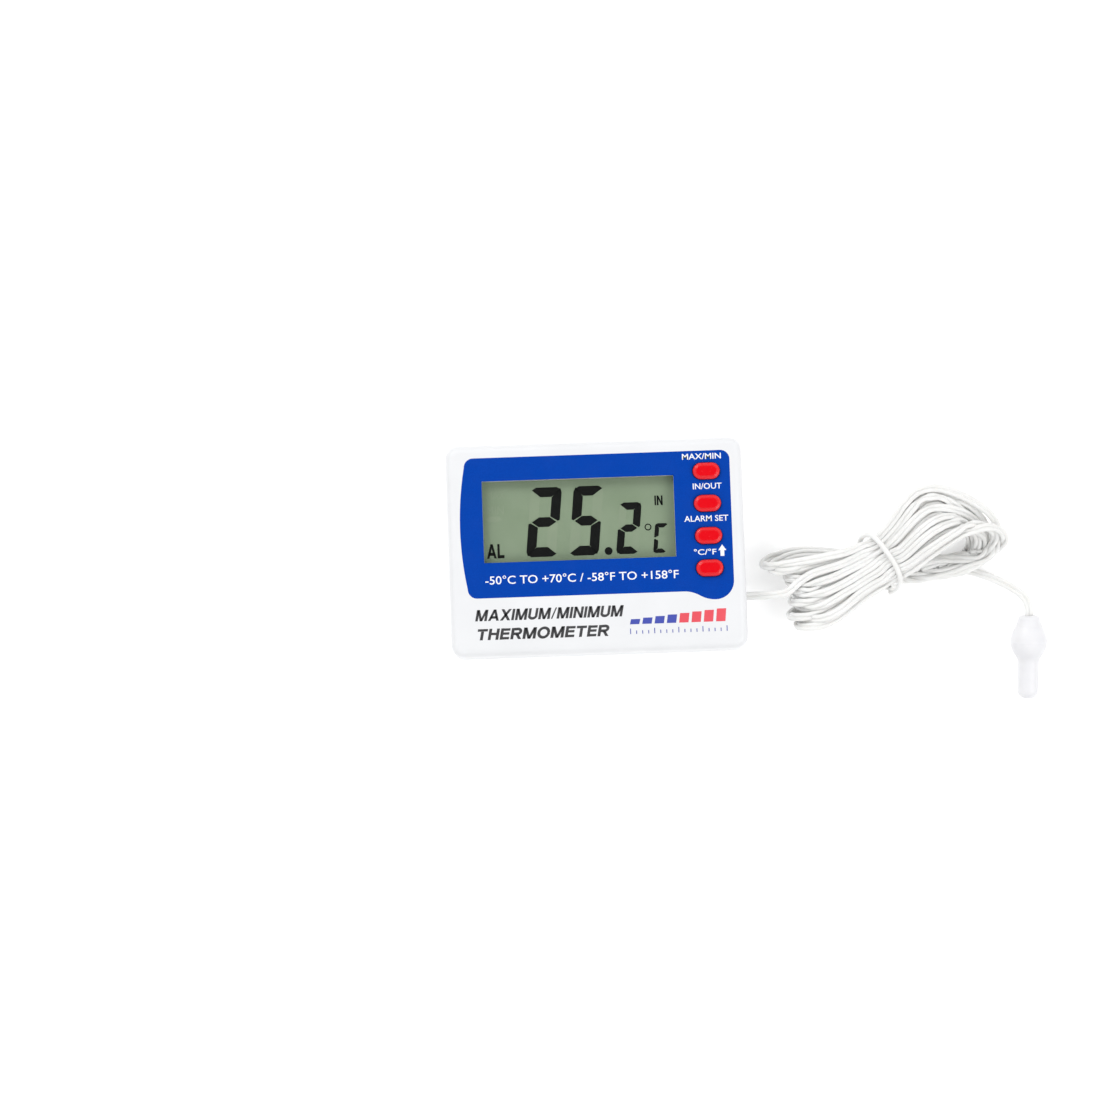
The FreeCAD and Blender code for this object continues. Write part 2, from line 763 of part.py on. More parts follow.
def build_board():
    """The circuit board with its screw holes, and the moulded drop that covers the chip."""
    main = box("board_main", ("board_left", "board_right"), ("board_bottom", "board_shoulder"),
               ("board_base", "board_top"))
    head = box("board_head", ("-board_shoulder_reach", "board_shoulder_reach"),
               ("board_shoulder", "board_height_end"), ("board_base", "board_top"))
    holes = [
        rod(f"board_hole_{number}", *at, ("board_base - 1", "board_top + 1"), "board_screw_clearance")
        for number, at in enumerate(board_screw_places())
    ]
    subpart(cut("board", fuse("board_blank", [main, head]), holes), "circuit_board")
    drop = doc.addObject("Part::Cone", "blob")
    bind(drop, "Radius1", "blob_radius - blob_drop")
    bind(drop, "Radius2", "blob_radius")
    bind(drop, "Height", "blob_drop")
    place(drop, "blob_x", "blob_y", "board_base - blob_drop")
    subpart(drop, "chip_cover")


def turned_screw(name, at, levels, shank, head, head_rise):
    """A screw standing on its head: a round head with a cross slot, under a straight shank."""
    seat, end = levels
    head_rod = rod(f"{name}_head", *at, (f"{seat} - {head_rise}", seat), head)
    shank_rod = rod(f"{name}_shank", *at, (seat, end), shank)
    half, reach = "screw_slot_width / 2", f"{head} / 2"
    deep = (f"{seat} - {head_rise} - 1", f"{seat} - {head_rise} / 2")
    slots = [
        box(f"{name}_slot_x", (f"{at[0]} - {reach}", f"{at[0]} + {reach}"),
            (f"{at[1]} - {half}", f"{at[1]} + {half}"), deep),
        box(f"{name}_slot_y", (f"{at[0]} - {half}", f"{at[0]} + {half}"),
            (f"{at[1]} - {reach}", f"{at[1]} + {reach}"), deep),
    ]
    return cut(name, fuse(f"{name}_solid", [head_rod, shank_rod]), slots)


def build_screws():
    """The four screws that close the case, and the four that hold the board."""
    case_screws = [
        turned_screw(f"case_screw_{number}", (f"{side_x}screw_reach_x", f"{side_y}screw_reach_y"),
                     ("screw_seat", "screw_end"), "screw_shank", "screw_head", "screw_head_rise")
        for number, (side_x, side_y) in enumerate(case_screw_places())
    ]
    subpart(group("case_screw_set", case_screws), "case_screws")
    board_screws = [
        turned_screw(f"board_screw_{number}", at, ("board_base", "board_screw_end"),
                     "board_screw_shank", "board_screw_head", "board_screw_head_rise")
        for number, at in enumerate(board_screw_places())
    ]
    subpart(group("board_screw_set", board_screws), "board_screws")


def build_battery():
    """The cell, the plate and coil spring at its flat end, and the plate at its raised end."""
    middle = ("cell_y", "cell_level")
    can = rod("cell_can", ("cell_left", "cell_left + cell_length"), *middle, "cell_radius", ALONG_X)
    nub = rod("cell_nub", ("cell_left + cell_length", "cell_left + cell_length + cell_nub_length"),
              *middle, "cell_nub_radius", ALONG_X)
    subpart(fuse("cell", [can, nub]), "battery")
    sides = ("cell_y - contact_half_width", "cell_y + contact_half_width")
    tall = ("contact_base", "contact_top")
    nub_end = "cell_left + cell_length + cell_nub_length"
    plate = box("plate_positive", (nub_end, f"{nub_end} + contact_thickness"), sides, tall)
    subpart(plate, "battery_contact")
    plate_left = "bay_left + contact_gap"
    plate = box("plate_negative", (plate_left, f"{plate_left} + contact_thickness"), sides, tall)
    start = size_of("bay_left") + size_of("contact_gap") + size_of("contact_thickness")
    reach = size_of("cell_left") - start
    wire, radius = size_of("spring_wire"), size_of("spring_radius")
    coil = Part.makeHelix(size_of("spring_pitch"), reach - 2 * wire, radius)
    section = Part.Wire(Part.makeCircle(wire, FreeCAD.Vector(radius, 0, 0), FreeCAD.Vector(0, 1, 0)))
    spring = doc.addObject("Part::Feature", "spring_coil")
    spring.Shape = Part.Wire(coil).makePipeShell([section], True, True)
    centre = FreeCAD.Vector(start + wire, size_of("cell_y"), size_of("cell_level"))
    spring.Placement = FreeCAD.Placement(centre, ALONG_X)
    subpart(plate, "battery_spring_plate")
    subpart(spring, "battery_spring")


def build_cover():
    """The sliding cover of the battery bay: a plate with a tongue on each side and a finger grip."""
    plate = rounded_block(
        "cover_block", ("cover_left", "cover_right"), ("-case_height / 2", "cover_top"),
        ("0", "cover_thickness"), "cover_corner",
    )
    outer_band = size_of("cover_corner") - size_of("case_height") / 2 + TINY

    def outer_low_edge(edge):
        return all(abs(corner.Z) < TINY and corner.Y < outer_band for corner in edge.Vertexes)

    round_edges(plate, "cover_edge", outer_low_edge, "cover_rounding")
    reach, level = ("cover_tongue_low", "cover_tongue_high"), ("cover_tongue_base", "cover_thickness")
    tongues = [
        box("cover_tongue_left", ("cover_left - cover_tongue", "cover_left + 1"), reach, level),
        box("cover_tongue_right", ("cover_right - 1", "cover_right + cover_tongue"), reach, level),
    ]
    middle = "(cover_left + cover_right) / 2"
    grips = [
        box(f"grip_{number}", (f"{middle} - grip_length / 2", f"{middle} + grip_length / 2"),
            (f"grip_first_y + {number} * grip_pitch", f"grip_first_y + {number} * grip_pitch + grip_width"),
            ("-1", "grip_depth"))
        for number in range(5)
    ]
    subpart(cut("cover", fuse("cover_solid", [plate] + tongues), grips), "battery_cover")


def build_stand():
    """The folding stand: a plate on a round knuckle with a pin at each end."""
    half = "stand_width / 2"
    plate = rounded_block("stand_block", (f"-{half}", half), ("stand_hinge_y", "stand_tip_y"),
                          ("stand_base", "stand_top"), "stand_corner")
    knuckle = rod("stand_knuckle_rod", (f"-{half}", half), "stand_hinge_y", "stand_hinge_level",
                  "stand_knuckle", ALONG_X)
    pins = rod("stand_pins", (f"-{half} - stand_pin_reach", f"{half} + stand_pin_reach"),
               "stand_hinge_y", "stand_hinge_level", "stand_pin", ALONG_X)
    subpart(fuse("stand_solid", [plate, knuckle, pins]), "stand")


def build_sounder():
    """The sounder, a metal disc with a smaller ceramic one on it, on its ring in the rear shell."""
    disc = rod("sounder_plate", "sounder_x", "sounder_y",
               ("sounder_seat", "sounder_seat + sounder_thickness"), "sounder_radius")
    ceramic = rod("sounder_ceramic", "sounder_x", "sounder_y",
                  ("sounder_seat + sounder_thickness",
                   "sounder_seat + sounder_thickness + ceramic_thickness"), "ceramic_radius")
    subpart(fuse("sounder_disc", [disc, ceramic]), "sounder")


def build_sensor():
    """The room sensor, a bead on two legs under the board, behind the vents."""
    bead = doc.addObject("Part::Sphere", "sensor_bead")
    bind(bead, "Radius", "sensor_radius")
    place(bead, "vent_x", "sensor_y", "sensor_level")
    legs = [
        rod(f"sensor_leg_{side}", f"vent_x {sign} sensor_leg_offset", "sensor_y",
            ("sensor_level", "board_base"), "sensor_leg")
        for side, sign in (("left", "-"), ("right", "+"))
    ]
    subpart(fuse("sensor", [bead] + legs), "room_sensor")


def build_lead_inside():
    """The lead inside the case, the stop moulded on it, its joints on the board and the cell's wires."""
    side, thick = "lead_width / 2", "lead_thickness / 2"
    flat = (f"lead_level - {thick}", f"lead_level + {thick}")
    run = box("lead_run", (f"lead_bend_x - {side}", "case_width / 2"),
              (f"lead_y - {side}", f"lead_y + {side}"), flat)
    turn = box("lead_turn", (f"lead_bend_x - {side}", f"lead_bend_x + {side}"),
               (f"lead_y - {side}", "lead_end_y"), flat)
    lead = fuse("lead_inner", [run, turn])
    subpart(lead, "lead_inside")
    stop = box("stop_block", ("stop_left", "case_width / 2 - side_wall"),
               ("lead_y - stop_width / 2", "lead_y + stop_width / 2"), ("stop_base", "stop_top"))
    core = box("stop_core", ("stop_left - 1", "case_width / 2"),
               (f"lead_y - {side}", f"lead_y + {side}"), flat)
    subpart(cut("lead_stop_solid", stop, [core]), "lead_stop")
    joints = []
    for side_name, sign in (("left", "-"), ("right", "+")):
        joint = doc.addObject("Part::Cone", f"joint_{side_name}")
        bind(joint, "Radius1", "solder_low_radius")
        bind(joint, "Radius2", "solder_radius")
        bind(joint, "Height", f"board_base - lead_level - {thick}")
        place(joint, f"lead_bend_x {sign} lead_width / 4 {sign} solder_radius / 2",
              "lead_end_y - solder_radius", f"lead_level + {thick}")
        joints.append(joint)
    subpart(group("joints", joints), "solder_joints")


def routed(points):
    """Straight runs joined by tangent arcs, each as large as its two runs allow."""
    at = [FreeCAD.Vector(*point) for point in points]
    edges, radii, start = [], [], at[0]
    for before, corner, after in zip(at, at[1:], at[2:]):
        come, go = (corner - before), (after - corner)
        trim = 0.45 * min(come.Length, go.Length)
        turn = come.getAngle(go)
        radius = trim / math.tan(turn / 2)
        come, go = come.normalize(), go.normalize()
        first, last = corner - come * trim, corner + go * trim
        inward = (go - come).normalize()
        bend_centre = corner + inward * math.hypot(trim, radius)
        middle = bend_centre - inward * radius
        edges.append(Part.LineSegment(start, first).toShape())
        edges.append(Part.Arc(first, middle, last).toShape())
        radii.append(round(radius, 1))
        start = last
    edges.append(Part.LineSegment(start, at[-1]).toShape())
    return Part.Wire(edges), radii


def tube(label, points, radius):
    """A round tube along a route, as a sub-part; its volume is compared with section times length."""
    path, radii = routed(points)
    heading = FreeCAD.Vector(*points[1]) - FreeCAD.Vector(*points[0])
    section = Part.Wire(Part.makeCircle(radius, FreeCAD.Vector(*points[0]), heading))
    shape = path.makePipeShell([section], True, False)
    expected = math.pi * radius * radius * path.Length
    print(f"{label}: length {path.Length:.1f}, bend radii {radii}, volume {shape.Volume:.1f} "
          f"against {expected:.1f}")
    if abs(shape.Volume - expected) > 0.02 * expected:
        sys.exit(f"{label} is not the tube that its route describes")
    feature = doc.addObject("Part::Feature", f"{label}_tube")
    feature.Shape = shape
    subpart(feature, label)


def build_wires():
    """The two short wires from the battery plates over the bay's wall to the board."""
    low, high = size_of("contact_top"), size_of("contact_top") + size_of("wire_rise")
    plate_half = size_of("contact_thickness") / 2
    nub_end = size_of("cell_left") + size_of("cell_length") + size_of("cell_nub_length")
    starts = {
        "wire_negative": size_of("bay_left") + size_of("contact_gap") + plate_half,
        "wire_positive": nub_end + plate_half,
    }
    for label, x in starts.items():
        end = size_of(f"{label}_end")
        route = [
            (x, size_of("wire_y"), low),
            (x, size_of("wire_y"), high),
            (end, size_of("wire_board_y"), high),
            (end, size_of("wire_board_y"), size_of("board_top")),
        ]
        tube(label, route, size_of("wire_radius"))


def hank_frame(along, aside, level):
    """A placement in the hank's own frame, facing along its long axis."""
    turn = math.radians(size_of("hank_turn"))
    position = FreeCAD.Vector(
        size_of("hank_x") + along * math.cos(turn) - aside * math.sin(turn),
        size_of("hank_y") + along * math.sin(turn) + aside * math.cos(turn),
        level,
    )
    facing = FreeCAD.Rotation(
        FreeCAD.Vector(-math.sin(turn), math.cos(turn), 0), FreeCAD.Vector(0, 0, 1),
        FreeCAD.Vector(math.cos(turn), math.sin(turn), 0), "ZXY",
    )
    return FreeCAD.Placement(position, facing)


def cross_ellipse(name, along, aside, half_width, half_height, level):
    """An upright ellipse across the hank's long axis."""
    feature = doc.addObject("Part::Ellipse", name)
    bind(feature, "MajorRadius", half_width)
    bind(feature, "MinorRadius", half_height)
    feature.Placement = hank_frame(along, aside, level)
    return feature


def build_hank():
    """The hank's outer shape, two lobes drawn in to a waist, and the tie around the waist."""
    waist_reach = size_of("waist_length") / 2
    waist_level = size_of("waist_level")
    rows = [(row, row[3]) for row in LEFT_LOBE]
    sections = [cross_ellipse(f"left_section_{n}", *row, level) for n, (row, level) in enumerate(rows)]
    for side, along in (("left", -waist_reach), ("right", waist_reach)):
        sections.append(cross_ellipse(f"waist_section_{side}", along, 0.0, "waist_half_width",
                                      "waist_half_height", waist_level))
    sections += [cross_ellipse(f"right_section_{n}", *row, row[3]) for n, row in enumerate(RIGHT_LOBE)]
    loft = doc.addObject("Part::Loft", "hank_loft")
    loft.Sections = sections
    loft.Solid = True
    loft.Ruled = True
    subpart(loft, "cord_hank")
    rings = []
    for name, grow in (("outer", " + tie_wall"), ("inner", "")):
        outline = cross_ellipse(f"tie_{name}_outline", -size_of("tie_length") / 2, 0.0,
                                f"waist_half_width{grow}", f"waist_half_height{grow}", waist_level)
        ring = doc.addObject("Part::Extrusion", f"tie_{name}")
        ring.Base = outline
        ring.DirMode = "Normal"
        ring.Solid = True
        bind(ring, "LengthFwd", "tie_length")
        rings.append(ring)
    subpart(cut("tie", rings[0], [rings[1]]), "hank_tie")


def build_probe():
    """The probe: a moulded shell with a collar, a bulge and a round tip, its filling and its bead."""
    length, tube_r, tip_r = size_of("probe_length"), size_of("probe_tube_radius"), size_of("probe_tip_radius")
    collar_r, rounding = size_of("collar_radius"), size_of("collar_rounding")
    bore, bore_start, bore_end = size_of("probe_bore"), size_of("probe_bore_start"), size_of("probe_bore_end")
    bead_r, bead_at = size_of("thermistor_radius"), size_of("thermistor_at")
    lead_r = size_of("lead_width") / 2
    turn, tilt = math.radians(size_of("probe_turn")), math.radians(size_of("probe_tilt"))
    heading = FreeCAD.Vector(-math.sin(turn) * math.cos(tilt), -math.cos(turn) * math.cos(tilt),
                             -math.sin(tilt))
    collar_top = FreeCAD.Vector(size_of("probe_x"), size_of("probe_y"), size_of("probe_level"))
    facing = FreeCAD.Placement(collar_top, FreeCAD.Rotation(FreeCAD.Vector(0, 0, 1), heading))
    diagonal = 1 - math.sqrt(0.5)
    corner, tip_corner = rounding * diagonal, tip_r * diagonal

    def at(radius, along):
        return FreeCAD.Vector(radius, 0, along)

    def revolved(name, edges, label):
        feature = doc.addObject("Part::Feature", name)
        face = Part.Face(Part.Wire([edge.toShape() for edge in edges]))
        feature.Shape = face.revolve(FreeCAD.Vector(), FreeCAD.Vector(0, 0, 1), 360)
        feature.Placement = facing
        subpart(feature, label)

    collar_end = at(size_of("collar_base_radius"), size_of("collar_length"))
    shoulder = at(size_of("shoulder_radius"), size_of("shoulder_at"))
    widest = at(size_of("bulge_radius"), size_of("bulge_at"))
    bulge_low = at(size_of("bulge_low_radius"), size_of("bulge_low_at"))
    neck = at(size_of("neck_radius"), size_of("neck_at"))
    neck_bend = at(size_of("neck_bend_radius"), size_of("neck_bend_at"))
    neck_end = at(tube_r, size_of("neck_end"))
    shell = [
        Part.LineSegment(at(lead_r, 0), at(collar_r - rounding, 0)),
        Part.Arc(at(collar_r - rounding, 0), at(collar_r - corner, corner), at(collar_r, rounding)),
        Part.LineSegment(at(collar_r, rounding), collar_end),
        Part.Arc(collar_end, shoulder, widest),
        Part.Arc(widest, bulge_low, neck),
        Part.Arc(neck, neck_bend, neck_end),
        Part.LineSegment(neck_end, at(tube_r, length - tip_r)),
        Part.Arc(at(tube_r, length - tip_r), at(tube_r - tip_corner, length - tip_corner),
                 at(tube_r - tip_r, length)),
        Part.LineSegment(at(tube_r - tip_r, length), at(0, length)),
        Part.LineSegment(at(0, length), at(0, bore_end)),
        Part.LineSegment(at(0, bore_end), at(bore, bore_end)),
        Part.LineSegment(at(bore, bore_end), at(bore, bore_start)),
        Part.LineSegment(at(bore, bore_start), at(lead_r, bore_start)),
        Part.LineSegment(at(lead_r, bore_start), at(lead_r, 0)),
    ]
    revolved("probe_moulding", shell, "probe_shell")
    filling = [
        Part.LineSegment(at(0, bore_start), at(bore, bore_start)),
        Part.LineSegment(at(bore, bore_start), at(bore, bore_end)),
        Part.LineSegment(at(bore, bore_end), at(0, bore_end)),
        Part.LineSegment(at(0, bore_end), at(0, bead_at + bead_r)),
        Part.Arc(at(0, bead_at + bead_r), at(bead_r, bead_at), at(0, bead_at - bead_r)),
        Part.LineSegment(at(0, bead_at - bead_r), at(0, bore_start)),
    ]
    revolved("probe_resin", filling, "probe_filling")
    bead = [
        Part.Arc(at(0, bead_at - bead_r), at(bead_r, bead_at), at(0, bead_at + bead_r)),
        Part.LineSegment(at(0, bead_at + bead_r), at(0, bead_at - bead_r)),
    ]
    revolved("probe_bead", bead, "probe_thermistor")
    plug = [
        Part.LineSegment(at(0, 0), at(lead_r, 0)),
        Part.LineSegment(at(lead_r, 0), at(lead_r, bore_start)),
        Part.LineSegment(at(lead_r, bore_start), at(0, bore_start)),
        Part.LineSegment(at(0, bore_start), at(0, 0)),
    ]
    revolved("probe_lead_end", plug, "lead_in_probe")


def check_document():
    """Stops when an object of the document failed or a sub-part has no sound shape."""
    doc.recompute()
    for item in doc.Objects:
        if "Invalid" in item.State or "Error" in item.State:
            sys.exit(f"{item.Name} failed: {item.State}")
    for item in SUBPARTS:
        if item.Shape.isNull() or not item.Shape.isValid() or not item.Shape.Solids:
            sys.exit(f"{item.Label} has no sound shape")


def write_steps():
    """Writes each sub-part to its own file and prints its box and volume."""
    os.makedirs("parts", exist_ok=True)
    for item in SUBPARTS:
        item.Shape.exportStep(f"parts/{item.Label}.step")
        box_of = item.Shape.BoundBox
        print(f"{item.Label:22s} solids {len(item.Shape.Solids)} volume {item.Shape.Volume:9.1f} "
              f"x {box_of.XMin:.2f}..{box_of.XMax:.2f} y {box_of.YMin:.2f}..{box_of.YMax:.2f} "
              f"z {box_of.ZMin:.2f}..{box_of.ZMax:.2f}")


printed_outline = label_outline()
build_front_shell(printed_outline)
build_rear_shell()
build_label(printed_outline)
build_lens()
build_keys()
build_switches()
build_display()
build_board()
build_screws()
build_battery()
build_cover()
build_stand()
build_sounder()
build_sensor()
build_lead_inside()
build_wires()
tube("cord_lead_in", LEAD_IN, size_of("lead_width") / 2)
build_hank()
tube("cord_tail", TAIL, size_of("lead_width") / 2)
build_probe()
check_document()
write_steps()
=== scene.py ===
"""A digital maximum minimum thermometer with a sensor on a long lead, lying on its back: how it looks.

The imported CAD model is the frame: its pieces keep their shapes and get their materials here. The pieces
that it only holds as plain solids are built here: the lead with its tied hank, the tie and the key caps. So
are the thin things that lie on its pieces: the printing and the figures on the display.

Lengths are in metres unless a comment says mm, in the frame's axes: X to the right, Y to the top edge, Z out
of the face.
"""
import math

import bpy
import numpy as np
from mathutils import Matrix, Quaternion, Vector


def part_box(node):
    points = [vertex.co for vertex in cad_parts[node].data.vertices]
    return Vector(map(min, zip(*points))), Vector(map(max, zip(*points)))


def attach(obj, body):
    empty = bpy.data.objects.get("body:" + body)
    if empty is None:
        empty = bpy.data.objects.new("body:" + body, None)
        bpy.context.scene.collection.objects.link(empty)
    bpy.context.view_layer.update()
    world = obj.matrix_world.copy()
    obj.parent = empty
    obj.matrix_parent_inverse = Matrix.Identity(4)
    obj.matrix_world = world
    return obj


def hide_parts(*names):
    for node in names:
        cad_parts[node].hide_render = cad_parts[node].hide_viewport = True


MM = 0.001
TINY = 1e-9  # keeps a division by a length from failing

# -------------------- the camera

VIEW_CENTRE = (-0.0110, -0.0004)  # the point of the face in the middle of the picture
VIEW_WIDTH = 0.2594  # how much of the face's plane the picture takes in
VIEW_DISTANCE = 0.9
VIEW_TILT = math.radians(4.0)  # the camera stands this far towards the bottom edge
VIEW_ROLL = math.radians(2.0)  # how far the object is turned in the picture
SENSOR_WIDTH = 36.0  # mm
NEAR_CLIP = 0.01

# -------------------- the lead

# The flat twin lead: two insulated wires side by side, with a thin web between them.
STRAND_RADIUS = 0.525 * MM
STRAND_OFFSET = 0.475 * MM  # of each wire from the lead's middle
LOBE_STEPS = 9  # points round each of the two wires
GROOVE_ANGLE = math.radians(60.0)  # edges that turn by more are sharp, as in the groove between the wires
SIDE_SMOOTHING = 12  # rounds of evening out how the lead's flat side turns along it

# The route's ends, the same points as the CAD tubes: out of the case, and out of the hank to the probe.
LEAD_IN = [
    (0.0350, -0.0124, 0.00735),
    (0.0382, -0.0124, 0.00735),
    (0.0416, -0.0125, 0.0084),
    (0.0448, -0.0122, 0.0096),
]
TAIL = [
    (0.0840, -0.0066, 0.0023),
    (0.0872, -0.0074, 0.0013),
    (0.0918, -0.0086, 0.0011),
    (0.0959, -0.0105, 0.0024),
    (0.0989, -0.0124, 0.0041),
    (0.10155, -0.0146, 0.0056),
    (0.10258, -0.01723, 0.00605),
    (0.1025, -0.0193, 0.00569),
]

# The hank, in its own axes: along it, across it and up. It is tied at its middle.
HANK_MIDDLE = (0.0669, -0.0054)
HANK_TURNED = math.radians(19.5)
HANK_TURNS = 12
WAIST_HALF_WIDTH = 6.3  # mm
WAIST_HALF_HEIGHT = 3.2
WAIST_LEVEL = 4.75
WAIST_LENGTH = 2.6
# The tie's ring leans: how far along the hank it is at its middle, and more for each mm up and across.
TIE_ALONG = 0.6
TIE_LEAN_UP = 0.55
TIE_LEAN_ASIDE = -0.2

# Stations round one turn, in mm: how far along the hank for the first and the last place of the fan, how far
# across it for them, how high for them, how far the turn has moved on to the next turn's place, and how much
# shorter the middle places are. The upper fan goes from the left end to the right, round the right end, back
# through the tie below, and round the left end.
STATIONS = [
    (-17.0, -17.0, 6.2, -9.4, 9.6, 10.0, 0.0, 0.0),
    (-11.0, -11.0, 5.6, -8.0, 9.0, 9.4, 0.0, 0.0),
    (-5.5, -5.5, 4.8, -6.2, 7.6, 7.6, 0.0, 0.0),
    (0.0, 0.0, 5.2, -5.2, 6.0, 6.0, 0.0, 0.0),
    (5.8, 5.5, 6.9, -4.6, 7.2, 8.0, 0.0, 0.0),
    (11.6, 11.2, 11.6, -3.0, 8.4, 10.2, 0.0, 0.0),
    (17.0, 17.2, 13.2, -1.7, 8.6, 11.6, 0.0, 0.6),
    (22.4, 23.0, 9.6, -0.9, 8.4, 12.0, 0.0, 1.8),
    (27.6, 27.8, 5.2, -1.8, 7.8, 11.2, 0.0, 3.4),
    (31.4, 30.6, 0.8, -4.0, 6.8, 9.0, 0.0, 5.2),
    (32.0, 30.2, -4.0, -6.6, 5.2, 6.2, 0.0, 6.2),
    (28.8, 26.8, -7.4, -7.8, 3.6, 4.0, 0.0, 5.4),
    (22.6, 20.4, -8.7, -6.8, 2.6, 2.8, 0.0, 3.4),
    (17.0, 15.0, -8.4, -5.4, 2.2, 2.4, 0.1, 1.6),
    (11.5, 10.0, -7.4, -3.8, 2.2, 2.4, 0.2, 0.0),
    (6.0, 6.0, -5.8, -2.6, 2.4, 2.6, 0.35, 0.0),
    (0.0, 0.0, -1.0, -1.5, 3.4, 3.4, 0.5, 0.0),
    (-5.5, -5.5, 6.0, -4.0, 2.6, 2.6, 0.75, 0.0),
    (-11.0, -11.0, 8.8, -4.6, 2.2, 2.2, 0.9, 0.0),
    (-17.0, -17.0, 10.8, -6.0, 2.0, 2.0, 1.0, 0.0),
    (-22.5, -21.6, 11.0, -6.6, 2.2, 2.2, 1.0, 1.0),
    (-26.0, -24.6, 10.0, -6.6, 3.8, 3.8, 1.0, 1.5),
    (-26.2, -25.0, 9.0, -7.0, 6.6, 6.6, 1.0, 1.5),
    (-23.0, -22.6, 7.6, -8.2, 9.0, 9.0, 1.0, 0.5),
]
TUCKED_DROP = 0.8  # mm lower for each mm shorter, at the right end
FIRST_PLACE = 2  # the first turn's place in the fan, and how many places further each next turn lies
PLACE_STRIDE = 5
RANDOM_SEED = 11
ASIDE_SPREAD = 0.45  # mm across the hank that a station may be off
END_REACH = 4.0  # mm by which a turn's end may be shorter, or longer by up to END_LONGER of it
END_LONGER = 0.2
OUTER_REACH = 0.3  # the share of that which the outermost places have at the right end
RIGHT_END = 20.0  # mm along the hank from which the right and the left ends reach further or less far
LEFT_END = -18.0
END_RUN = 8.0  # mm beyond there at which they have their whole reach
LAYER_LIFT = 1.1  # mm between the two layers that the turns of a fan lie in
LAYER_RUN = 8.0  # mm from the middle of the hank at which the layers are that far apart
LAST_RUN_STATIONS = 4  # the last run goes from the left end to the tie, lower than the upper fan
LAST_RUN_DROP = 2.4  # mm
TAIL_LINK = [(5.5, -5.8, 3.2), (10.0, -6.6, 2.6)]  # from the tie to the route's tail, in the hank's axes

# How the laid turns settle, in mm: the lead is two rows of beads, held at its length, that may not lie in
# each other.
BEAD_STEP = 1.0
SETTLE_STEPS = 420
HOME_PULL = 0.012  # the share of its way back to where it was laid that a bead goes in the first step
SINKING = (0.0, 0.0, 0.004)  # how far it sinks in each step
# How near beads that many apart may come, as a share of the lead between them, which limits its bends.
BEND_LIMITS = [(6, 0.90), (3, 0.975)]
BEND_EASE = 0.5  # the share of such an error that is put right in each step
TOUCHING = 1.07  # between the middles of two beads
PUSH_EASE = 0.8  # the share of an overlap that is undone in each step
FLOOR_LEVEL = 0.56  # the lowest that the middle of a bead may be
REFRESH = 8  # steps between two searches for beads that are near
NEAR = 2.0  # between the middles of beads that it finds
OWN_NEIGHBOURS = 4  # beads along the lead that don't push each other apart
CLEAR_OF_ENDS = 1.5  # between the route's given ends and the first settled control point
CONTROL_EVERY = 2  # beads for each control point of the settled route
LAID_DETAIL = 6  # points for each control point of the laid route, and of the settled one
SETTLED_DETAIL = 4


def spline_points(control, per_point):
    """The points of one open NURBS spline with these control points, as Blender draws it."""
    curve = bpy.data.curves.new("route", "CURVE")
    curve.dimensions = "3D"
    spline = curve.splines.new("NURBS")
    spline.points.add(len(control) - 1)
    for point, place in zip(spline.points, control):
        point.co = (*place, 1.0)
    spline.order_u = 3
    spline.use_endpoint_u = True
    spline.resolution_u = per_point
    holder = bpy.data.objects.new("route", curve)
    mesh = bpy.data.meshes.new_from_object(holder)
    points = np.array([vertex.co for vertex in mesh.vertices], float)
    bpy.data.meshes.remove(mesh)
    bpy.data.objects.remove(holder)
    bpy.data.curves.remove(curve)
    return points


def mix(first, last, share):
    return first + (last - first) * share


def unit(vectors):
    return vectors / np.maximum(np.linalg.norm(vectors, axis=-1, keepdims=True), TINY)


def running_length(points):
    """How far along a line each of its points is."""
    runs = np.linalg.norm(np.diff(np.array(points), axis=0), axis=1)
    return np.concatenate([[0.0], np.cumsum(runs)])


def hank_to_frame(along, aside, up):
    """A point given in mm in the hank's own axes, in metres in the frame."""
    cosine = math.cos(HANK_TURNED)
    sine = math.sin(HANK_TURNED)
    x = HANK_MIDDLE[0] + (along * cosine - aside * sine) * MM
    y = HANK_MIDDLE[1] + (along * sine + aside * cosine) * MM
    return (x, y, up * MM)


def lay_turns():
    """Control points of the hank's turns, each in its own place in the fan, up to the start of the tail."""
    random = np.random.default_rng(RANDOM_SEED)
    order = [(FIRST_PLACE + turn * PLACE_STRIDE) % HANK_TURNS for turn in range(HANK_TURNS)]
    places = [place / (HANK_TURNS - 1) for place in order] + [1.0]
    points = []
    for turn in range(HANK_TURNS):
        lift = LAYER_LIFT * (turn % 2 == 0)
        reach = random.uniform(-1.0, END_LONGER, 2) * END_REACH
        for *first_and_last, moved_on, tucked in STATIONS:
            place = mix(places[turn], places[turn + 1], moved_on)
            middle = 4.0 * place * (1.0 - place)  # 1 for the middle place, 0 for the first and the last
            shorter = middle * tucked
            along, aside, height = [mix(*first_and_last[axis:axis + 2], place) for axis in (0, 2, 4)]
            along -= math.copysign(shorter, along)
            height -= TUCKED_DROP * shorter * (along > 0.0)
            if along > RIGHT_END:
                along += reach[0] * (OUTER_REACH + middle) * (along - RIGHT_END) / END_RUN
            if along < LEFT_END:
                along -= reach[1] * (LEFT_END - along) / END_RUN
            aside += random.uniform(-ASIDE_SPREAD, ASIDE_SPREAD)
            height += lift * min(1.0, abs(along) / LAYER_RUN)
            points.append(hank_to_frame(along, aside, height))
    for along, _, _, aside, height, _, _, _ in STATIONS[:LAST_RUN_STATIONS]:
        points.append(hank_to_frame(along, aside, height - LAST_RUN_DROP))
    for along, aside, height in TAIL_LINK:
        points.append(hank_to_frame(along, aside, height))
    return points


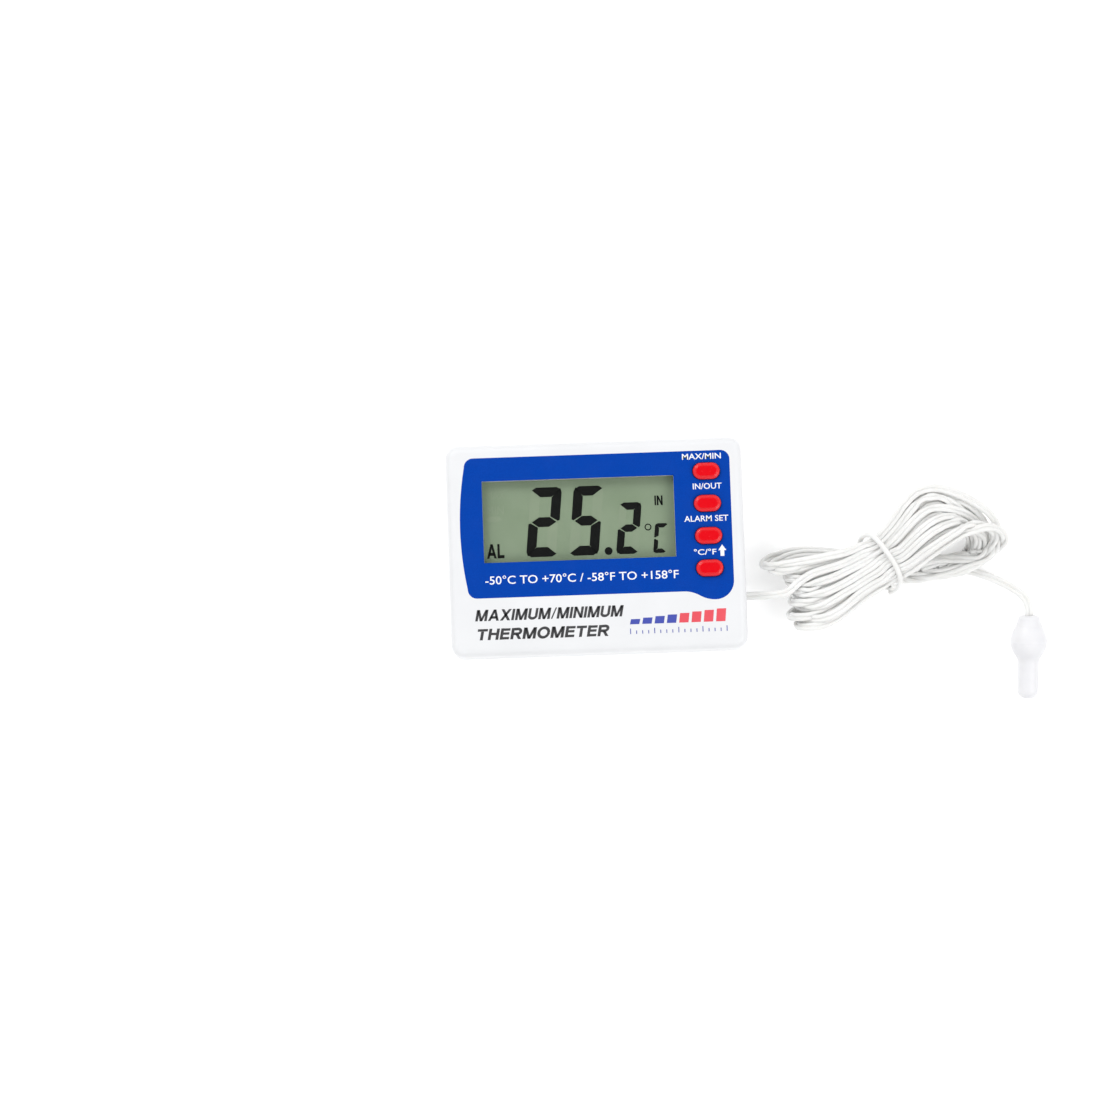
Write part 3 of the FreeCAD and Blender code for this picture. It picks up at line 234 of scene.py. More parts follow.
def evenly(points, step):
    """Points a step apart along a line, and how far along it each one is."""
    along = running_length(points)
    places = np.linspace(0.0, along[-1], int(round(along[-1] / step)) + 1)
    even = np.stack([np.interp(places, along, points[:, axis]) for axis in range(3)], axis=1)
    return even, places


def between_ends(along):
    """Which places along the lead, in metres, belong to the hank and not to the route's two ends."""
    start = running_length(LEAD_IN)[-1] + CLEAR_OF_ENDS * MM
    end = along[-1] - running_length(TAIL)[-1] - CLEAR_OF_ENDS * MM
    return (along > start) & (along < end)


def flat_sides(line):
    """Across the lead at each point: level with the floor where it can be, and turning smoothly."""
    tangent = unit(np.gradient(line, axis=0))
    sides = unit(np.cross((0.0, 0.0, 1.0), tangent))
    for index in range(1, len(sides)):
        if sides[index] @ sides[index - 1] < 0.0:
            sides[index] *= -1.0
    for _ in range(SIDE_SMOOTHING):
        sides[1:-1] = (sides[:-2] + sides[1:-1] + sides[2:]) / 3.0
        sides = unit(sides - (sides * tangent).sum(axis=1, keepdims=True) * tangent)
    return sides


def touching_pairs(beads, order):
    """Beads near each other that aren't neighbours along the lead."""
    square = (beads ** 2).sum(axis=1)
    apart = square[:, None] + square[None, :] - 2.0 * beads @ beads.T
    one, other = np.nonzero(np.triu(apart < NEAR ** 2, 1))
    distinct = np.abs(order[one] - order[other]) > OWN_NEIGHBOURS
    return one[distinct], other[distinct]


def pull_to_length(rows, free, gap, length, share, only_longer=False):
    """Beads that many apart along each row move to that distance, or to at least that distance."""
    for start in range(2 * gap):
        one = np.arange(start, rows.shape[1] - gap, 2 * gap)
        other = one + gap
        apart = rows[:, other] - rows[:, one]
        distance = np.linalg.norm(apart, axis=2, keepdims=True)
        wrong = distance - length
        if only_longer:
            wrong = np.minimum(wrong, 0.0)
        move = 0.5 * share * wrong * apart / np.maximum(distance, TINY)
        rows[:, one] += move * free[one][None, :, None]
        rows[:, other] -= move * free[other][None, :, None]


def push_apart(rows, free, one, other):
    """Beads of different stretches of lead that are too near move apart."""
    beads = rows.reshape(-1, 3)
    apart = beads[other] - beads[one]
    distance = np.linalg.norm(apart, axis=1)
    near = distance < TOUCHING
    one, other, apart, distance = one[near], other[near], apart[near], distance[near]
    move = 0.5 * (TOUCHING - distance)[:, None] * apart / np.maximum(distance, TINY)[:, None]
    count = len(beads)
    total = np.zeros_like(beads)
    for axis in range(3):
        total[:, axis] = np.bincount(other, move[:, axis], count) - np.bincount(one, move[:, axis], count)
    meetings = np.bincount(one, minlength=count) + np.bincount(other, minlength=count)
    total *= PUSH_EASE / np.sqrt(np.maximum(meetings, 1))[:, None]
    beads += total * np.tile(free, 2)[:, None]
    return beads.reshape(rows.shape)


def tie_along(aside, up):
    """How far along the hank the tie's ring is, in mm, at a place across it and above its middle."""
    return TIE_ALONG + TIE_LEAN_UP * up + TIE_LEAN_ASIDE * aside


def hold_in_tie(rows):
    """Beads at the waist stay inside the tie's ring."""
    cosine = math.cos(HANK_TURNED)
    sine = math.sin(HANK_TURNED)
    x = rows[:, :, 0] - HANK_MIDDLE[0] / MM
    y = rows[:, :, 1] - HANK_MIDDLE[1] / MM
    along = x * cosine + y * sine
    aside = -x * sine + y * cosine
    up = rows[:, :, 2] - WAIST_LEVEL
    half_width = WAIST_HALF_WIDTH - FLOOR_LEVEL
    half_height = WAIST_HALF_HEIGHT - FLOOR_LEVEL
    out = np.sqrt((aside / half_width) ** 2 + (up / half_height) ** 2)
    from_ring = np.abs(along - tie_along(aside, up))
    squeezed = (from_ring < WAIST_LENGTH / 2) & (out > 1.0)
    inward = np.where(squeezed, 1.0 / np.maximum(out, 1.0), 1.0)
    rows[:, :, 0] = HANK_MIDDLE[0] / MM + along * cosine - aside * inward * sine
    rows[:, :, 1] = HANK_MIDDLE[1] / MM + along * sine + aside * inward * cosine
    rows[:, :, 2] = WAIST_LEVEL + up * inward


def settle(line):
    """The laid turns after they have slid off each other and sunk: both rows of beads, in mm."""
    even, places = evenly(line / MM, BEAD_STEP)
    sides = flat_sides(even)
    half = STRAND_OFFSET / MM
    rows = np.stack([even - sides * half, even + sides * half])
    laid = rows.copy()
    free = between_ends(places * MM).astype(float)
    order = np.tile(np.arange(len(even)), 2)
    step = places[1]
    for passed in range(SETTLE_STEPS):
        done = passed / SETTLE_STEPS
        if passed % REFRESH == 0:
            one, other = touching_pairs(rows.reshape(-1, 3), order)
        rows += (HOME_PULL * (1.0 - done) * (laid - rows) - SINKING) * free[None, :, None]
        for gap, nearest in BEND_LIMITS:
            pull_to_length(rows, free, gap, nearest * gap * step, BEND_EASE, only_longer=True)
        rows = push_apart(rows, free, one, other)
        across = rows[1] - rows[0]
        width = np.linalg.norm(across, axis=1, keepdims=True)
        move = 0.5 * (width - 2.0 * half) * across / np.maximum(width, TINY) * free[:, None]
        rows[0] += move
        rows[1] -= move
        pull_to_length(rows, free, 1, step, 1.0)
        hold_in_tie(rows)
        rows[:, :, 2] = np.maximum(rows[:, :, 2], FLOOR_LEVEL)
        rows = np.where(free[None, :, None] > 0.0, rows, laid)
    return rows


# -------------------- materials

def linear(*levels):
    """A colour given as the 0 to 255 levels of a screen, as the linear values that shaders take."""
    values = [level / 255.0 for level in levels]
    return (*(v / 12.92 if v <= 0.04045 else ((v + 0.055) / 1.055) ** 2.4 for v in values), 1.0)


def ranged(tree, value, start, end, low, high):
    """A value of a shader's node tree, turned from start to end into low to high."""
    node = tree.nodes.new("ShaderNodeMapRange")
    for name, number in zip(("From Min", "From Max", "To Min", "To Max"), (start, end, low, high)):
        node.inputs[name].default_value = number
    tree.links.new(value, node.inputs["Value"])
    return node.outputs["Result"]


class Surface:
    """A material under construction: its nodes, its main shader and the frame's own coordinates."""

    def __init__(self, name):
        self.name = name
        self.material = bpy.data.materials.new(name + "_finish")
        self.material.use_nodes = True
        self.nodes = self.material.node_tree.nodes
        self.links = self.material.node_tree.links
        self.shader = self.nodes["Principled BSDF"]
        self.place = self.nodes.new("ShaderNodeTexCoord").outputs["Object"]

    def set(self, **values):
        """Values on the shader's own sockets, by the socket's name with _ for a space."""
        for name, value in values.items():
            self.shader.inputs[name.replace("_", " ")].default_value = value
        return self

    def noise(self, size, detail=2.0, stretch=(1.0, 1.0, 1.0)):
        """Noise with features of that size in metres, longer along an axis whose stretch is over 1."""
        scaled = self.nodes.new("ShaderNodeMapping")
        scaled.inputs["Scale"].default_value = [1.0 / (size * factor) for factor in stretch]
        self.links.new(self.place, scaled.inputs["Vector"])
        noise = self.nodes.new("ShaderNodeTexNoise")
        noise.inputs["Scale"].default_value = 1.0
        noise.inputs["Detail"].default_value = detail
        self.links.new(scaled.outputs["Vector"], noise.inputs["Vector"])
        return noise.outputs["Fac"]

    def along(self, axis):
        """How far along an axis of the frame each point is."""
        split = self.nodes.new("ShaderNodeSeparateXYZ")
        self.links.new(self.place, split.inputs["Vector"])
        return split.outputs[axis]

    def spread(self, value, low, high, start=0.3, end=0.7):
        """A value's middle range turned into low to high."""
        return ranged(self.material.node_tree, value, start, end, low, high)

    def between(self, factor, one, other):
        """A colour between two others, each a colour or another node's colour."""
        blend = self.nodes.new("ShaderNodeMix")
        blend.data_type = "RGBA"
        self.links.new(factor, blend.inputs["Factor"])
        for socket, value in ((blend.inputs[6], one), (blend.inputs[7], other)):
            if isinstance(value, tuple):
                socket.default_value = value
            else:
                self.links.new(value, socket)
        return blend.outputs[2]

    def colour(self, value):
        self.links.new(value, self.shader.inputs["Base Color"])
        return self

    def roughness(self, value):
        self.links.new(value, self.shader.inputs["Roughness"])
        return self

    def bump(self, height, depth, strength=0.5):
        """A relief of that depth in metres, over any relief there already is."""
        relief = self.nodes.new("ShaderNodeBump")
        relief.inputs["Strength"].default_value = strength
        relief.inputs["Distance"].default_value = depth
        self.links.new(height, relief.inputs["Height"])
        normal = self.shader.inputs["Normal"]
        if normal.is_linked:
            self.links.new(normal.links[0].from_socket, relief.inputs["Normal"])
        self.links.new(relief.outputs["Normal"], normal)
        return self


def moulded(name, light, dark, roughness, grain=0.25 * MM, depth=0.01 * MM, coat=0.0):
    """Moulded plastic: a fine even grain, slow changes of tone and gloss, and faint scuffs."""
    surface = Surface(name)
    tone = surface.between(surface.spread(surface.noise(14.0 * MM, 3.0), 0.0, 1.0), light, dark)
    surface.colour(tone)
    scuffs = surface.noise(1.2 * MM, 6.0, (6.0, 1.0, 1.0))
    surface.roughness(surface.spread(scuffs, roughness - 0.06, roughness + 0.08))
    surface.bump(surface.noise(grain, 1.0), depth)
    return surface.set(Coat_Weight=coat, Coat_Roughness=0.12)


def metal(name, light, dark, roughness, stretch=(1.0, 8.0, 1.0)):
    """Plated metal: drawn streaks in its gloss and slight tarnish."""
    surface = Surface(name)
    streaks = surface.noise(0.35 * MM, 5.0, stretch)
    surface.colour(surface.between(surface.spread(surface.noise(2.5 * MM, 4.0), 0.0, 1.0), light, dark))
    surface.roughness(surface.spread(streaks, roughness - 0.08, roughness + 0.15))
    surface.bump(streaks, 0.004 * MM, 0.3)
    return surface.set(Metallic=1.0)


def printed_film(name, light, dark):
    """The label: a glossy film with a fine printed screen under it."""
    surface = Surface(name)
    ink = surface.spread(surface.noise(0.22 * MM, 1.0), 0.0, 1.0)
    surface.colour(surface.between(ink, light, dark))
    surface.roughness(surface.spread(surface.noise(4.0 * MM, 4.0), 0.18, 0.26))
    surface.bump(surface.noise(2.2 * MM, 2.0), 0.004 * MM, 0.2)
    return surface.set(Specular_IOR_Level=0.35)


def circuit_green(name):
    """Solder mask over copper tracks that run in two directions."""
    surface = Surface(name)
    surface.set(Coat_Weight=0.4, Coat_Roughness=0.15)
    tracks = surface.nodes.new("ShaderNodeTexVoronoi")
    tracks.feature = "DISTANCE_TO_EDGE"
    tracks.inputs["Scale"].default_value = 260.0
    surface.links.new(surface.place, tracks.inputs["Vector"])
    copper = surface.spread(tracks.outputs["Distance"], 0.0, 1.0, 0.10, 0.14)
    surface.colour(surface.between(copper, linear(24, 96, 52), linear(12, 62, 34)))
    surface.roughness(surface.spread(surface.noise(2.0 * MM), 0.28, 0.40))
    surface.bump(copper, 0.03 * MM, 0.4)
    return surface


def clear_acrylic(name):
    """The window: clear, with a slight gloss of its own. It is shown as a see-through skin."""
    surface = Surface(name)
    surface.colour(surface.between(surface.noise(6.0 * MM), linear(70, 74, 72), linear(60, 64, 62)))
    surface.roughness(surface.spread(surface.noise(3.0 * MM, 3.0), 0.04, 0.08))
    return surface.set(Alpha=0.04, IOR=1.49)


def display_layer(name):
    """The liquid crystal's own grey green, seen through its polariser."""
    surface = Surface(name)
    tone = surface.spread(surface.noise(9.0 * MM, 2.0), 0.0, 1.0)
    fine = surface.noise(0.12 * MM, 1.0)
    base = surface.between(tone, linear(144, 161, 135), linear(135, 153, 126))
    surface.colour(surface.between(surface.spread(fine, 0.0, 0.25), base, linear(115, 132, 107)))
    surface.roughness(surface.spread(fine, 0.34, 0.42))
    return surface.set(Specular_IOR_Level=0.35)


def soft_white(name, light, dark, passed, grain, translucency):
    """Soft white vinyl or rubber: light passes a little way in, most of it in the colours named passed."""
    surface = Surface(name)
    surface.colour(surface.between(surface.spread(surface.noise(5.0 * MM, 3.0), 0.0, 1.0), light, dark))
    marks = surface.noise(0.9 * MM, 5.0)
    surface.roughness(surface.spread(marks, 0.34, 0.52))
    surface.bump(surface.noise(grain, 2.0), 0.02 * MM, 0.4)
    return surface.set(Subsurface_Weight=translucency, Subsurface_Radius=passed, Subsurface_Scale=0.6 * MM)


def red_key_plastic(name):
    """The keys' translucent red, painted paler down the sloping rim than on the flat top: a painted
    highlight.
    """
    surface = Surface(name)
    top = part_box("key_units")[1].z
    # painted highlight: the red turns paler from 0.1 mm below the key's top down to 0.75 mm below it, where
    # the rim slopes
    rim = surface.spread(surface.along("Z"), 1.0, 0.0, top - 0.75 * MM, top - 0.1 * MM)
    surface.colour(surface.between(rim, linear(224, 2, 20), linear(242, 54, 58)))
    surface.roughness(surface.spread(surface.noise(1.0 * MM, 3.0), 0.20, 0.28))
    surface.bump(surface.noise(0.5 * MM), 0.002 * MM, 0.2)
    return surface.set(Specular_IOR_Level=0.4, Subsurface_Weight=0.1, Subsurface_Scale=0.4 * MM)


def cell_jacket(name):
    """The battery's shrink sleeve: a dark body and a plain copper-coloured band at its plus end."""
    surface = Surface(name)
    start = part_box("battery")[1].x - 14.0 * MM
    band = surface.spread(surface.along("X"), 0.0, 1.0, start, start + 0.2 * MM)
    surface.colour(surface.between(band, linear(28, 30, 34), linear(196, 122, 64)))
    surface.roughness(surface.spread(surface.noise(1.5 * MM, 4.0), 0.22, 0.36))
    surface.bump(surface.noise(0.8 * MM, 3.0), 0.01 * MM, 0.3)
    return surface.set(Metallic=0.4, Coat_Weight=0.3)


def make_materials():
    """One finished material for each of the record's slots, and for the printing."""
    made = [
        moulded("white_case", linear(231, 232, 234), linear(227, 228, 230), 0.38),
        printed_film("blue_label", linear(0, 66, 170), linear(0, 60, 158)),
        clear_acrylic("clear_lens"),
        display_layer("display"),
        moulded("white_holder", linear(228, 228, 224), linear(218, 218, 214), 0.50),
        moulded("grey_rubber", linear(78, 80, 84), linear(66, 68, 72), 0.62, depth=0.02 * MM),
        circuit_green("board"),
        moulded("black_resin", linear(22, 22, 24), linear(14, 14, 16), 0.30, grain=1.2 * MM,
                depth=0.05 * MM),
        red_key_plastic("red_key"),
        moulded("black_plastic", linear(30, 30, 32), linear(22, 22, 24), 0.42),
        metal("screw_steel", linear(176, 178, 182), linear(150, 152, 156), 0.30),
        cell_jacket("cell_jacket"),
        metal("plated_spring", linear(206, 206, 204), linear(182, 180, 174), 0.24),
        metal("brass_disc", linear(206, 172, 96), linear(182, 146, 78), 0.32),
        metal("solder", linear(196, 198, 202), linear(170, 172, 176), 0.30, (1.0, 1.0, 1.0)),
        moulded("wire_black", linear(32, 32, 34), linear(24, 24, 26), 0.45),
        moulded("wire_red", linear(190, 28, 30), linear(168, 22, 26), 0.42),
        soft_white("white_lead", linear(236, 236, 235), linear(230, 230, 228), (1.0, 0.96, 0.93),
                   grain=0.8 * MM, translucency=0.45),
        soft_white("white_probe", linear(233, 233, 235), linear(227, 227, 230), (1.0, 0.95, 0.9),
                   grain=0.5 * MM, translucency=0.12),
        moulded("ink_white", linear(246, 247, 250), linear(238, 240, 246), 0.35, grain=0.15 * MM),
        moulded("ink_grey", linear(66, 66, 68), linear(58, 58, 60), 0.40, grain=0.15 * MM),
        moulded("ink_blue", linear(72, 84, 176), linear(64, 76, 166), 0.40, grain=0.15 * MM),
        moulded("ink_red", linear(232, 88, 98), linear(222, 78, 90), 0.40, grain=0.15 * MM),
        moulded("segment_dark", linear(12, 13, 12), linear(8, 9, 8), 0.46, grain=0.15 * MM)
        .set(Specular_IOR_Level=0.1),
        moulded("segment_faint", linear(143, 159, 133), linear(138, 154, 129), 0.36, grain=0.15 * MM),
        moulded("floor_white", linear(245, 245, 245), linear(243, 243, 243), 0.60, grain=3.0 * MM)
        .set(Emission_Color=(1.0, 1.0, 1.0, 1.0), Emission_Strength=0.24),
    ]
    return {surface.name: surface.material for surface in made}


def finish_cad_pieces(nodes, materials):
    """Each CAD piece's material slots get the finished material of the same name."""
    for node in nodes.values():
        for place in node.material_slots:
            place.material = materials[place.material.name]


# -------------------- pieces built here

def new_piece(name, points, faces, material, smooth=True):
    mesh = bpy.data.meshes.new(name)
    mesh.from_pydata([tuple(point) for point in points], [], [tuple(face) for face in faces])
    mesh.materials.append(material)
    mesh.polygons.foreach_set("use_smooth", [smooth] * len(mesh.polygons))
    mesh.update()
    piece = bpy.data.objects.new(name, mesh)
    bpy.context.scene.collection.objects.link(piece)
    return piece


def ring_faces(rings, count):
    """The faces between rings of count points each, and one on each end."""
    faces = []
    for ring in range(rings - 1):
        for corner in range(count):
            after = (corner + 1) % count
            low = ring * count
            high = low + count
            faces.append((low + corner, low + after, high + after, high + corner))
    last = (rings - 1) * count
    return [*faces, range(count - 1, -1, -1), range(last, last + count)]


def swept(name, path, sides, outline, material):
    """A closed outline, (across, out) pairs in metres, carried along a path whose sides are given."""
    tangent = unit(np.gradient(path, axis=0))
    sides = unit(sides - (sides * tangent).sum(axis=1, keepdims=True) * tangent)
    out = np.cross(tangent, sides)
    shape = np.array(outline)
    points = path[:, None] + shape[None, :, :1] * sides[:, None] + shape[None, :, 1:] * out[:, None]
    piece = new_piece(name, points.reshape(-1, 3), ring_faces(len(path), len(shape)), material)
    piece.data.set_sharp_from_angle(angle=GROOVE_ANGLE)
    return piece


def twin_outline():
    """The flat twin lead's section: two round wires joined by a web in the groove between them."""
    half_turn = math.acos(-STRAND_OFFSET / STRAND_RADIUS)
    outline = []
    for side in (1.0, -1.0):
        for angle in np.linspace(-half_turn, half_turn, LOBE_STEPS + 1)[:-1]:
            outline.append((side * (STRAND_OFFSET + STRAND_RADIUS * math.cos(angle)),
                            side * STRAND_RADIUS * math.sin(angle)))
    return outline


def circle(x, y, radius, count=28):
    turns = [2.0 * math.pi * index / count for index in range(count)]
    return [(x + radius * math.cos(turn), y + radius * math.sin(turn)) for turn in turns]


def level_when_low(path, sides):
    """Sides turned level where the lead lies low, so that neither of its wires is under the floor."""
    tangent = unit(np.gradient(path, axis=0))
    level = unit(np.cross((0.0, 0.0, 1.0), tangent))
    level *= np.where((level * sides).sum(axis=1, keepdims=True) < 0.0, -1.0, 1.0)
    room = np.clip((path[:, 2:] - FLOOR_LEVEL * MM) / STRAND_OFFSET, 0.0, 1.0)
    return mix(level, unit(sides), room)


def build_lead(material):
    """The whole lead from the case to the probe, and the line it follows."""
    laid = spline_points(LEAD_IN + lay_turns() + TAIL, LAID_DETAIL)
    rows = settle(laid)
    middle = rows.mean(axis=0) * MM
    along = running_length(middle)
    hank = middle[between_ends(along)][::CONTROL_EVERY]
    path = spline_points(LEAD_IN + [tuple(point) for point in hank] + TAIL, SETTLED_DETAIL)
    path_along = running_length(path)
    reached = path_along * along[-1] / path_along[-1]
    across = rows[1] - rows[0]
    sides = np.stack([np.interp(reached, along, across[:, axis]) for axis in range(3)], axis=1)
    lead = swept("lead", path, level_when_low(path, sides), twin_outline(), material)
    return lead, path


# The tie, in mm and degrees: a coated wire bent once round the waist and a little further. Its angle is 0 at
# the hank's upper side and 90 on top. It starts at the lower side, goes over the top and back underneath.
TIE_RADIUS = 0.64
TIE_FLATNESS = 0.9  # its thickness as a share of its width
TIE_CORNERS = 14
TIE_START = 205.0
TIE_SWEEP = -398.0
TIE_STEPS = 96
TIE_PITCH = 1.7  # how far its two ends lie from each other along the hank
TIE_FREE = 0.09  # the share of the tie that stands off as its free end
TIE_CURL = 1.5  # over 1 when the free end stands off more the nearer it is to its tip
TIE_END_OUT = 1.5  # how far the tip stands off across the hank, and back along it
TIE_END_BACK = 1.8
TIE_BUMP = 0.9  # how far the tie stands off where it was bent, at what angle and over how many degrees
TIE_BUMP_AT = 38.0
TIE_BUMP_REACH = 26.0


def build_tie(material):
    """The coated wire round the hank's waist, with a bump where it was bent and one end standing off."""
    half_width = WAIST_HALF_WIDTH + TIE_RADIUS
    half_height = WAIST_HALF_HEIGHT + TIE_RADIUS
    path = []
    for share in np.linspace(0.0, 1.0, TIE_STEPS):
        degrees = TIE_START + TIE_SWEEP * share
        angle = math.radians(degrees)
        loose = max(0.0, 1.0 - share / TIE_FREE) ** TIE_CURL
        bump = TIE_BUMP * math.exp(-((degrees - TIE_BUMP_AT) / TIE_BUMP_REACH) ** 2)
        aside = (half_width + bump + TIE_END_OUT * loose) * math.cos(angle)
        up = (half_height + bump) * math.sin(angle)
        along = tie_along(aside, up) + TIE_PITCH * (0.5 - share) - TIE_END_BACK * loose
        path.append(hank_to_frame(along, aside, WAIST_LEVEL + up))
    along_hank = (math.cos(HANK_TURNED), math.sin(HANK_TURNED), 0.0)
    outline = [(x, y * TIE_FLATNESS) for x, y in circle(0.0, 0.0, TIE_RADIUS * MM, TIE_CORNERS)]
    return swept("hank_tie_wire", np.array(path), np.tile(along_hank, (TIE_STEPS, 1)), outline, material)


# -------------------- the keys

KEYS = ["max_min", "in_out", "alarm_set", "units"]
# The key's rings from its foot to its top: how far in from its side, and how far down from its top, in mm.
KEY_RINGS = [(0.0, 2.2), (0.0, 0.75), (0.04, 0.55), (0.16, 0.36), (0.34, 0.22), (0.52, 0.17), (0.60, 0.15),
             (0.66, 0.06), (0.76, 0.01), (0.90, 0.0), (1.5, 0.0)]
KEY_HALF_LENGTH = 3.2  # mm
KEY_HALF_WIDTH = 1.95
KEY_ROUND_STEPS = 12


def key_outline(half_length, half_width):
    """A round-ended outline with its long side along X, from the right end's lower side round."""
    straight = half_length - half_width
    outline = []
    for side, start in ((1.0, -90.0), (-1.0, 90.0)):
        for angle in np.radians(np.linspace(start, start + 180.0, KEY_ROUND_STEPS)):
            outline.append((side * straight + half_width * math.cos(angle), half_width * math.sin(angle)))
    return outline


def build_key(key, material):
    """A key cap with a sloping rim round a raised flat top, in place of the CAD piece and no larger."""
    low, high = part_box("key_" + key)
    middle = (low + high) / 2.0
    points = []
    for inset, down in KEY_RINGS:
        shape = key_outline((KEY_HALF_LENGTH - inset) * MM, (KEY_HALF_WIDTH - inset) * MM)
        points += [(middle.x + x, middle.y + y, high.z - down * MM) for x, y in shape]
    faces = ring_faces(len(KEY_RINGS), 2 * KEY_ROUND_STEPS)
    cap = new_piece("key_cap_" + key, points, faces, material)
    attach(cap, "key_" + key + "_body")
    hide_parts("key_" + key)


# -------------------- the printing and the display's figures

PRINT_HEIGHT = 0.02 * MM  # how far ink stands on what it is printed on


def flat_shapes(name, outlines, level, material):
    """Thin flat shapes, each an outline of (x, y) in mm, as one piece printed on a surface at that level."""
    points = []
    faces = []
    for outline in outlines:
        start = len(points)
        points += [(x * MM, y * MM, level + PRINT_HEIGHT) for x, y in outline]
        faces.append(range(start, start + len(outline)))
    piece = new_piece(name, points, faces, material, smooth=False)
    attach(piece, "case")
    return piece


def words(name, text, left, right, bottom, top, level, material, weight=0.0):
    """Lettering in Blender's own type, stretched to a box in mm."""
    curve = bpy.data.curves.new(name, "FONT")
    curve.body = text
    curve.offset = weight
    curve.resolution_u = 3
    holder = bpy.data.objects.new(name, curve)
    mesh = bpy.data.meshes.new_from_object(holder)
    points = np.array([vertex.co[:2] for vertex in mesh.vertices], float)
    low = points.min(axis=0)
    high = points.max(axis=0)
    stretched = (left, bottom) + (points - low) / (high - low) * (right - left, top - bottom)
    outlines = [stretched[list(polygon.vertices)] for polygon in mesh.polygons]
    bpy.data.meshes.remove(mesh)
    bpy.data.objects.remove(holder)
    bpy.data.curves.remove(curve)
    return flat_shapes(name, outlines, level, material)


# A plain heavy alphabet for the title. All of its sizes are in heights of a capital.
PEN = 0.235
SLIM_PEN = PEN * 0.95
WIDE_PEN = PEN * 1.15
LEVEL_PEN = PEN * 0.92
SLASH_PEN = 0.13
LETTER_GAP = 0.11
MIDDLE_BAR = 0.53  # how high the middle bars of E and H are
LETTER_WIDTHS = {"M": 1.06, "A": 1.0, "X": 0.92, "I": PEN, "/": 0.42, "N": 0.86, "H": 0.86, "T": 0.82,
                 "E": 0.76, "L": 0.72, "U": 0.86, "R": 0.88, "O": 1.0}


def leg(x, y, other_x, other_y, width=PEN):
    """A stroke with level ends, centred on x at its foot and on other_x at its head."""
    half = width / 2.0
    return [(x - half, y), (x + half, y), (other_x + half, other_y), (other_x - half, other_y)]


def bar(left, right, middle):
    half = LEVEL_PEN / 2.0
    return [(left, middle - half), (right, middle - half), (right, middle + half), (left, middle + half)]


def bent(points, width=PEN):
    """A curved stroke as a run of four-sided shapes along its middle."""
    line = np.array(points)
    tangent = unit(np.gradient(line, axis=0))
    out = np.stack([-tangent[:, 1], tangent[:, 0]], axis=1) * width / 2.0
    one = line + out
    other = line - out
    return [(one[i], one[i + 1], other[i + 1], other[i]) for i in range(len(line) - 1)]


def arc(x, y, wide, high, start, end, count=14):
    angles = np.radians(np.linspace(start, end, count))
    return [(x + wide * math.cos(angle), y + high * math.sin(angle)) for angle in angles]


def heavy_letter(letter):
    """The shapes of a letter, as wide as LETTER_WIDTHS says."""
    width = LETTER_WIDTHS[letter]
    middle = width / 2.0
    left = PEN / 2.0
    right = width - left
    foot = PEN / 2.0
    head = 1.0 - foot
    inner = left * 1.4  # where the slopes of the M start
    stem = leg(left, 0, left, 1)
    far_stem = leg(right, 0, right, 1)
    bowl = [(PEN, head), *arc(0.52, 0.69, 0.24, 0.21, 90, -90), (PEN, 0.48)]
    shapes = {
        "M": [stem, far_stem, leg(middle, 0, inner, 1, SLIM_PEN),
              leg(middle, 0, width - inner, 1, SLIM_PEN)],
        "A": [leg(left, 0, middle, 1), leg(right, 0, middle, 1), bar(0.2, 0.8, 0.30)],
        "X": [leg(left, 0, right, 1, WIDE_PEN), leg(right, 0, left, 1, WIDE_PEN)],
        "I": [stem],
        "/": [leg(0.07, 0, 0.35, 1, SLASH_PEN)],
        "N": [stem, far_stem, leg(right, 0, left, 1)],
        "H": [stem, far_stem, bar(PEN, width - PEN, MIDDLE_BAR)],
        "T": [leg(middle, 0, middle, 1.0 - PEN), bar(0, width, head)],
        "E": [stem, bar(PEN, width, head), bar(PEN, width - 0.04, MIDDLE_BAR), bar(PEN, width, foot)],
        "L": [stem, bar(PEN, width, foot)],
        "U": [leg(left, 0.36, left, 1), leg(right, 0.36, right, 1),
              *bent(arc(middle, 0.36, 0.33, 0.26, 180, 360))],
        "R": [stem, *bent(bowl), leg(0.77, 0, 0.48, 0.44, PEN * 1.1)],
        "O": bent(arc(middle, 0.5, 0.4, 0.42, 0, 360, 40)),
    }
    return shapes[letter]


def heavy_words(name, text, left, bottom, height, slant, level, material, width_share=1.0):
    """A line of heavy capitals, leaning to the right by slant for each unit up, sizes in mm."""
    shapes = []
    start = 0.0
    for letter in text:
        for outline in heavy_letter(letter):
            shapes.append([(left + ((start + x) * width_share + y * slant) * height, bottom + y * height)
                           for x, y in outline])
        start += LETTER_WIDTHS[letter] + LETTER_GAP
    return flat_shapes(name, shapes, level, material)


def ring_quads(x, y, radius, width, count=24):
    """A ring as a run of four-sided outlines."""
    outer = circle(x, y, radius, count)
    inner = circle(x, y, radius - width, count)
    return [(outer[i], outer[(i + 1) % count], inner[(i + 1) % count], inner[i]) for i in range(count)]


# Which of its seven bars each figure has.
BARS = {
    "2": "top upper_right middle lower_left bottom",
    "5": "top upper_left middle lower_right bottom",
    "8": "top upper_left upper_right middle lower_left lower_right bottom",
    "C": "top upper_left lower_left bottom",
    "-": "middle",
}
BAR_SLANT = 0.104  # across for each mm up


